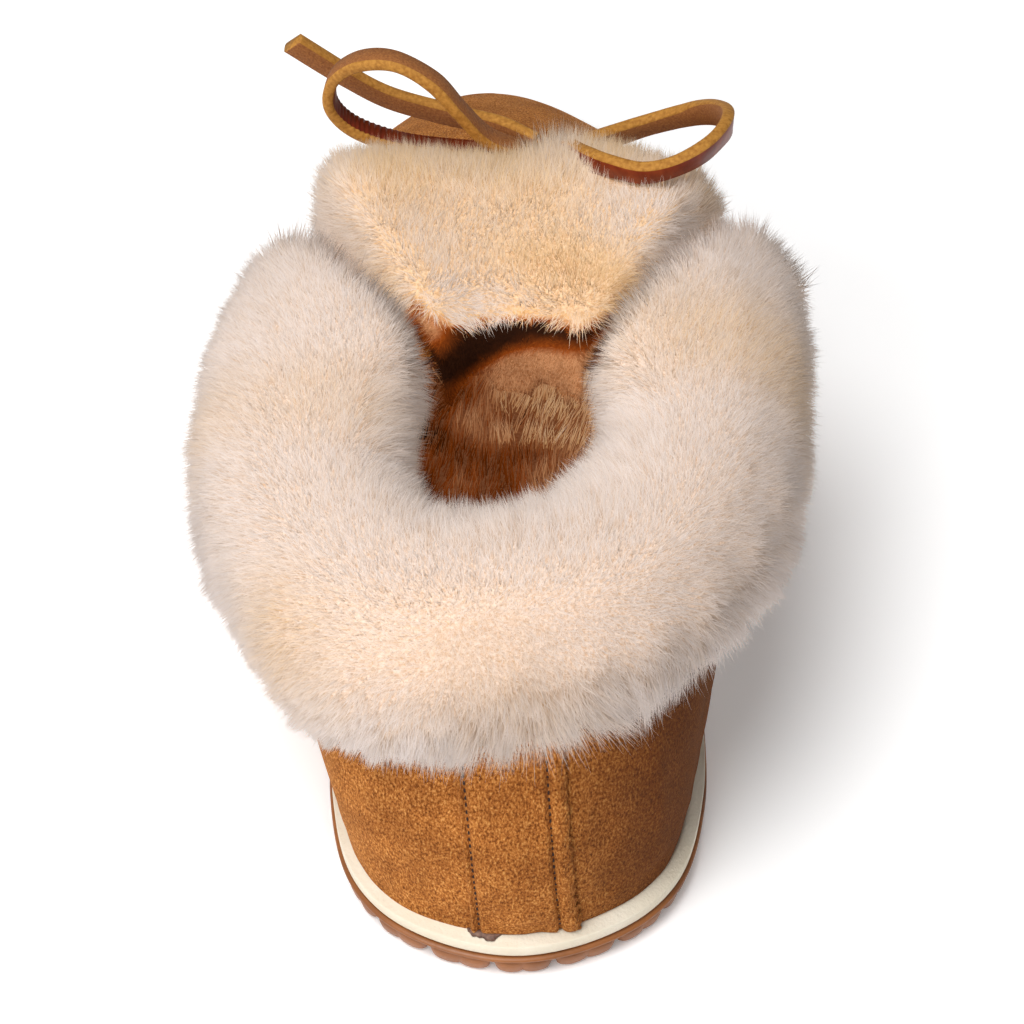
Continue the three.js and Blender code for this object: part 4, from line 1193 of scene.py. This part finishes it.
flow = np.tile([0.3, 0.6, -0.7], (LINING_HAIRS, 1))
flow = swirl(roots, flow, normals, amount=0.7, size=14, seed=33)
length = rng.uniform(3.5, 6.0, LINING_HAIRS)
clump = np.full(LINING_HAIRS, 0.6)
tips = comb(roots, normals, flow, length, fuzz=0.3, lock=TRODDEN_LOCK, clump=clump, rng=rng)
tint = 0.74 + 0.08 * ripple(roots / MM, 12, 34) + rng.normal(0, 0.05, LINING_HAIRS)
thick = rng.uniform(0.12, 0.2, LINING_HAIRS)
hairs("lining_wool", roots - normals * MM, tips, normals, thick, tint, "insole_wool", rng, inner_wool)

# %% Insole
INSOLE_INSET, INSOLE_BASE, INSOLE_THICK = FEATHER_INSET + WALL + 2, FOOTBED + GAP, 5.0
points, faces = plate([
    (INSOLE_INSET, INSOLE_BASE), (INSOLE_INSET - 0.4, INSOLE_BASE + 0.6 * INSOLE_THICK),
    (INSOLE_INSET + 0.3, INSOLE_BASE + 0.85 * INSOLE_THICK), (INSOLE_INSET + 1.6, INSOLE_BASE + INSOLE_THICK),
])
uv = np.tile([INSOLE_TINT, BODY_DEPTH], (len(points), 1))
insole = piece("insole_fleece", place(points), faces, [underwool], None, uv)
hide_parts("insole")
INSOLE_HAIRS = 14000
spot = np.stack([rng.uniform(-36, 44, 2 * INSOLE_HAIRS), rng.uniform(12, 215, 2 * INSOLE_HAIRS)], -1)
insole_tree = BVHTree.FromObject(insole, bpy.context.evaluated_depsgraph_get())
hits = [insole_tree.ray_cast(Vector(place([x, y, 40])), Vector((0, 0, -1)))[0] for x, y in spot]
roots = np.array([h for h in hits if h is not None])[:INSOLE_HAIRS]
normals = np.tile([0.0, 0.0, 1.0], (len(roots), 1))
flow = np.tile([0.5, 0.85, 0.0], (len(roots), 1))
flow = swirl(roots, flow, normals, amount=0.35, size=15, seed=37)
length = rng.uniform(4, 7, len(roots))
clump = np.full(len(roots), 0.65)
tips = comb(roots, normals, flow, length, fuzz=0.3, lock=TRODDEN_LOCK, clump=clump, rng=rng)
# In the mouth its tint is painted with light and shade: painted shade along the inner side, painted
# light where light falls in and towards the outer side, painted shade again under the heel's wall, and
# a line of painted shade across it that stands for a crease.
x, y = (roots / MM - OFFSET)[:, :2].T
lit = ease(x, -17, -3)
painted_crease_shade = np.exp(-((y - 148.5 + 0.42 * (x + 2)) / 1.7) ** 2) * ease(x, -8, 0)
tint = 0.96 - 0.44 * lit - 0.1 * ease(x, 2, 12) + 0.42 * painted_crease_shade
tint += (0.87 - 0.2 * ease(x, -3, 8) - tint) * ease(139.5 - y, 0, 4)
tint += 0.07 * ripple(roots / MM, 7, 38) + rng.normal(0, 0.04, len(roots))
thick = rng.uniform(0.12, 0.2, len(roots))
hairs("insole_wool", roots - normals * MM, tips, normals, thick, tint, "insole_wool", rng, inner_wool)
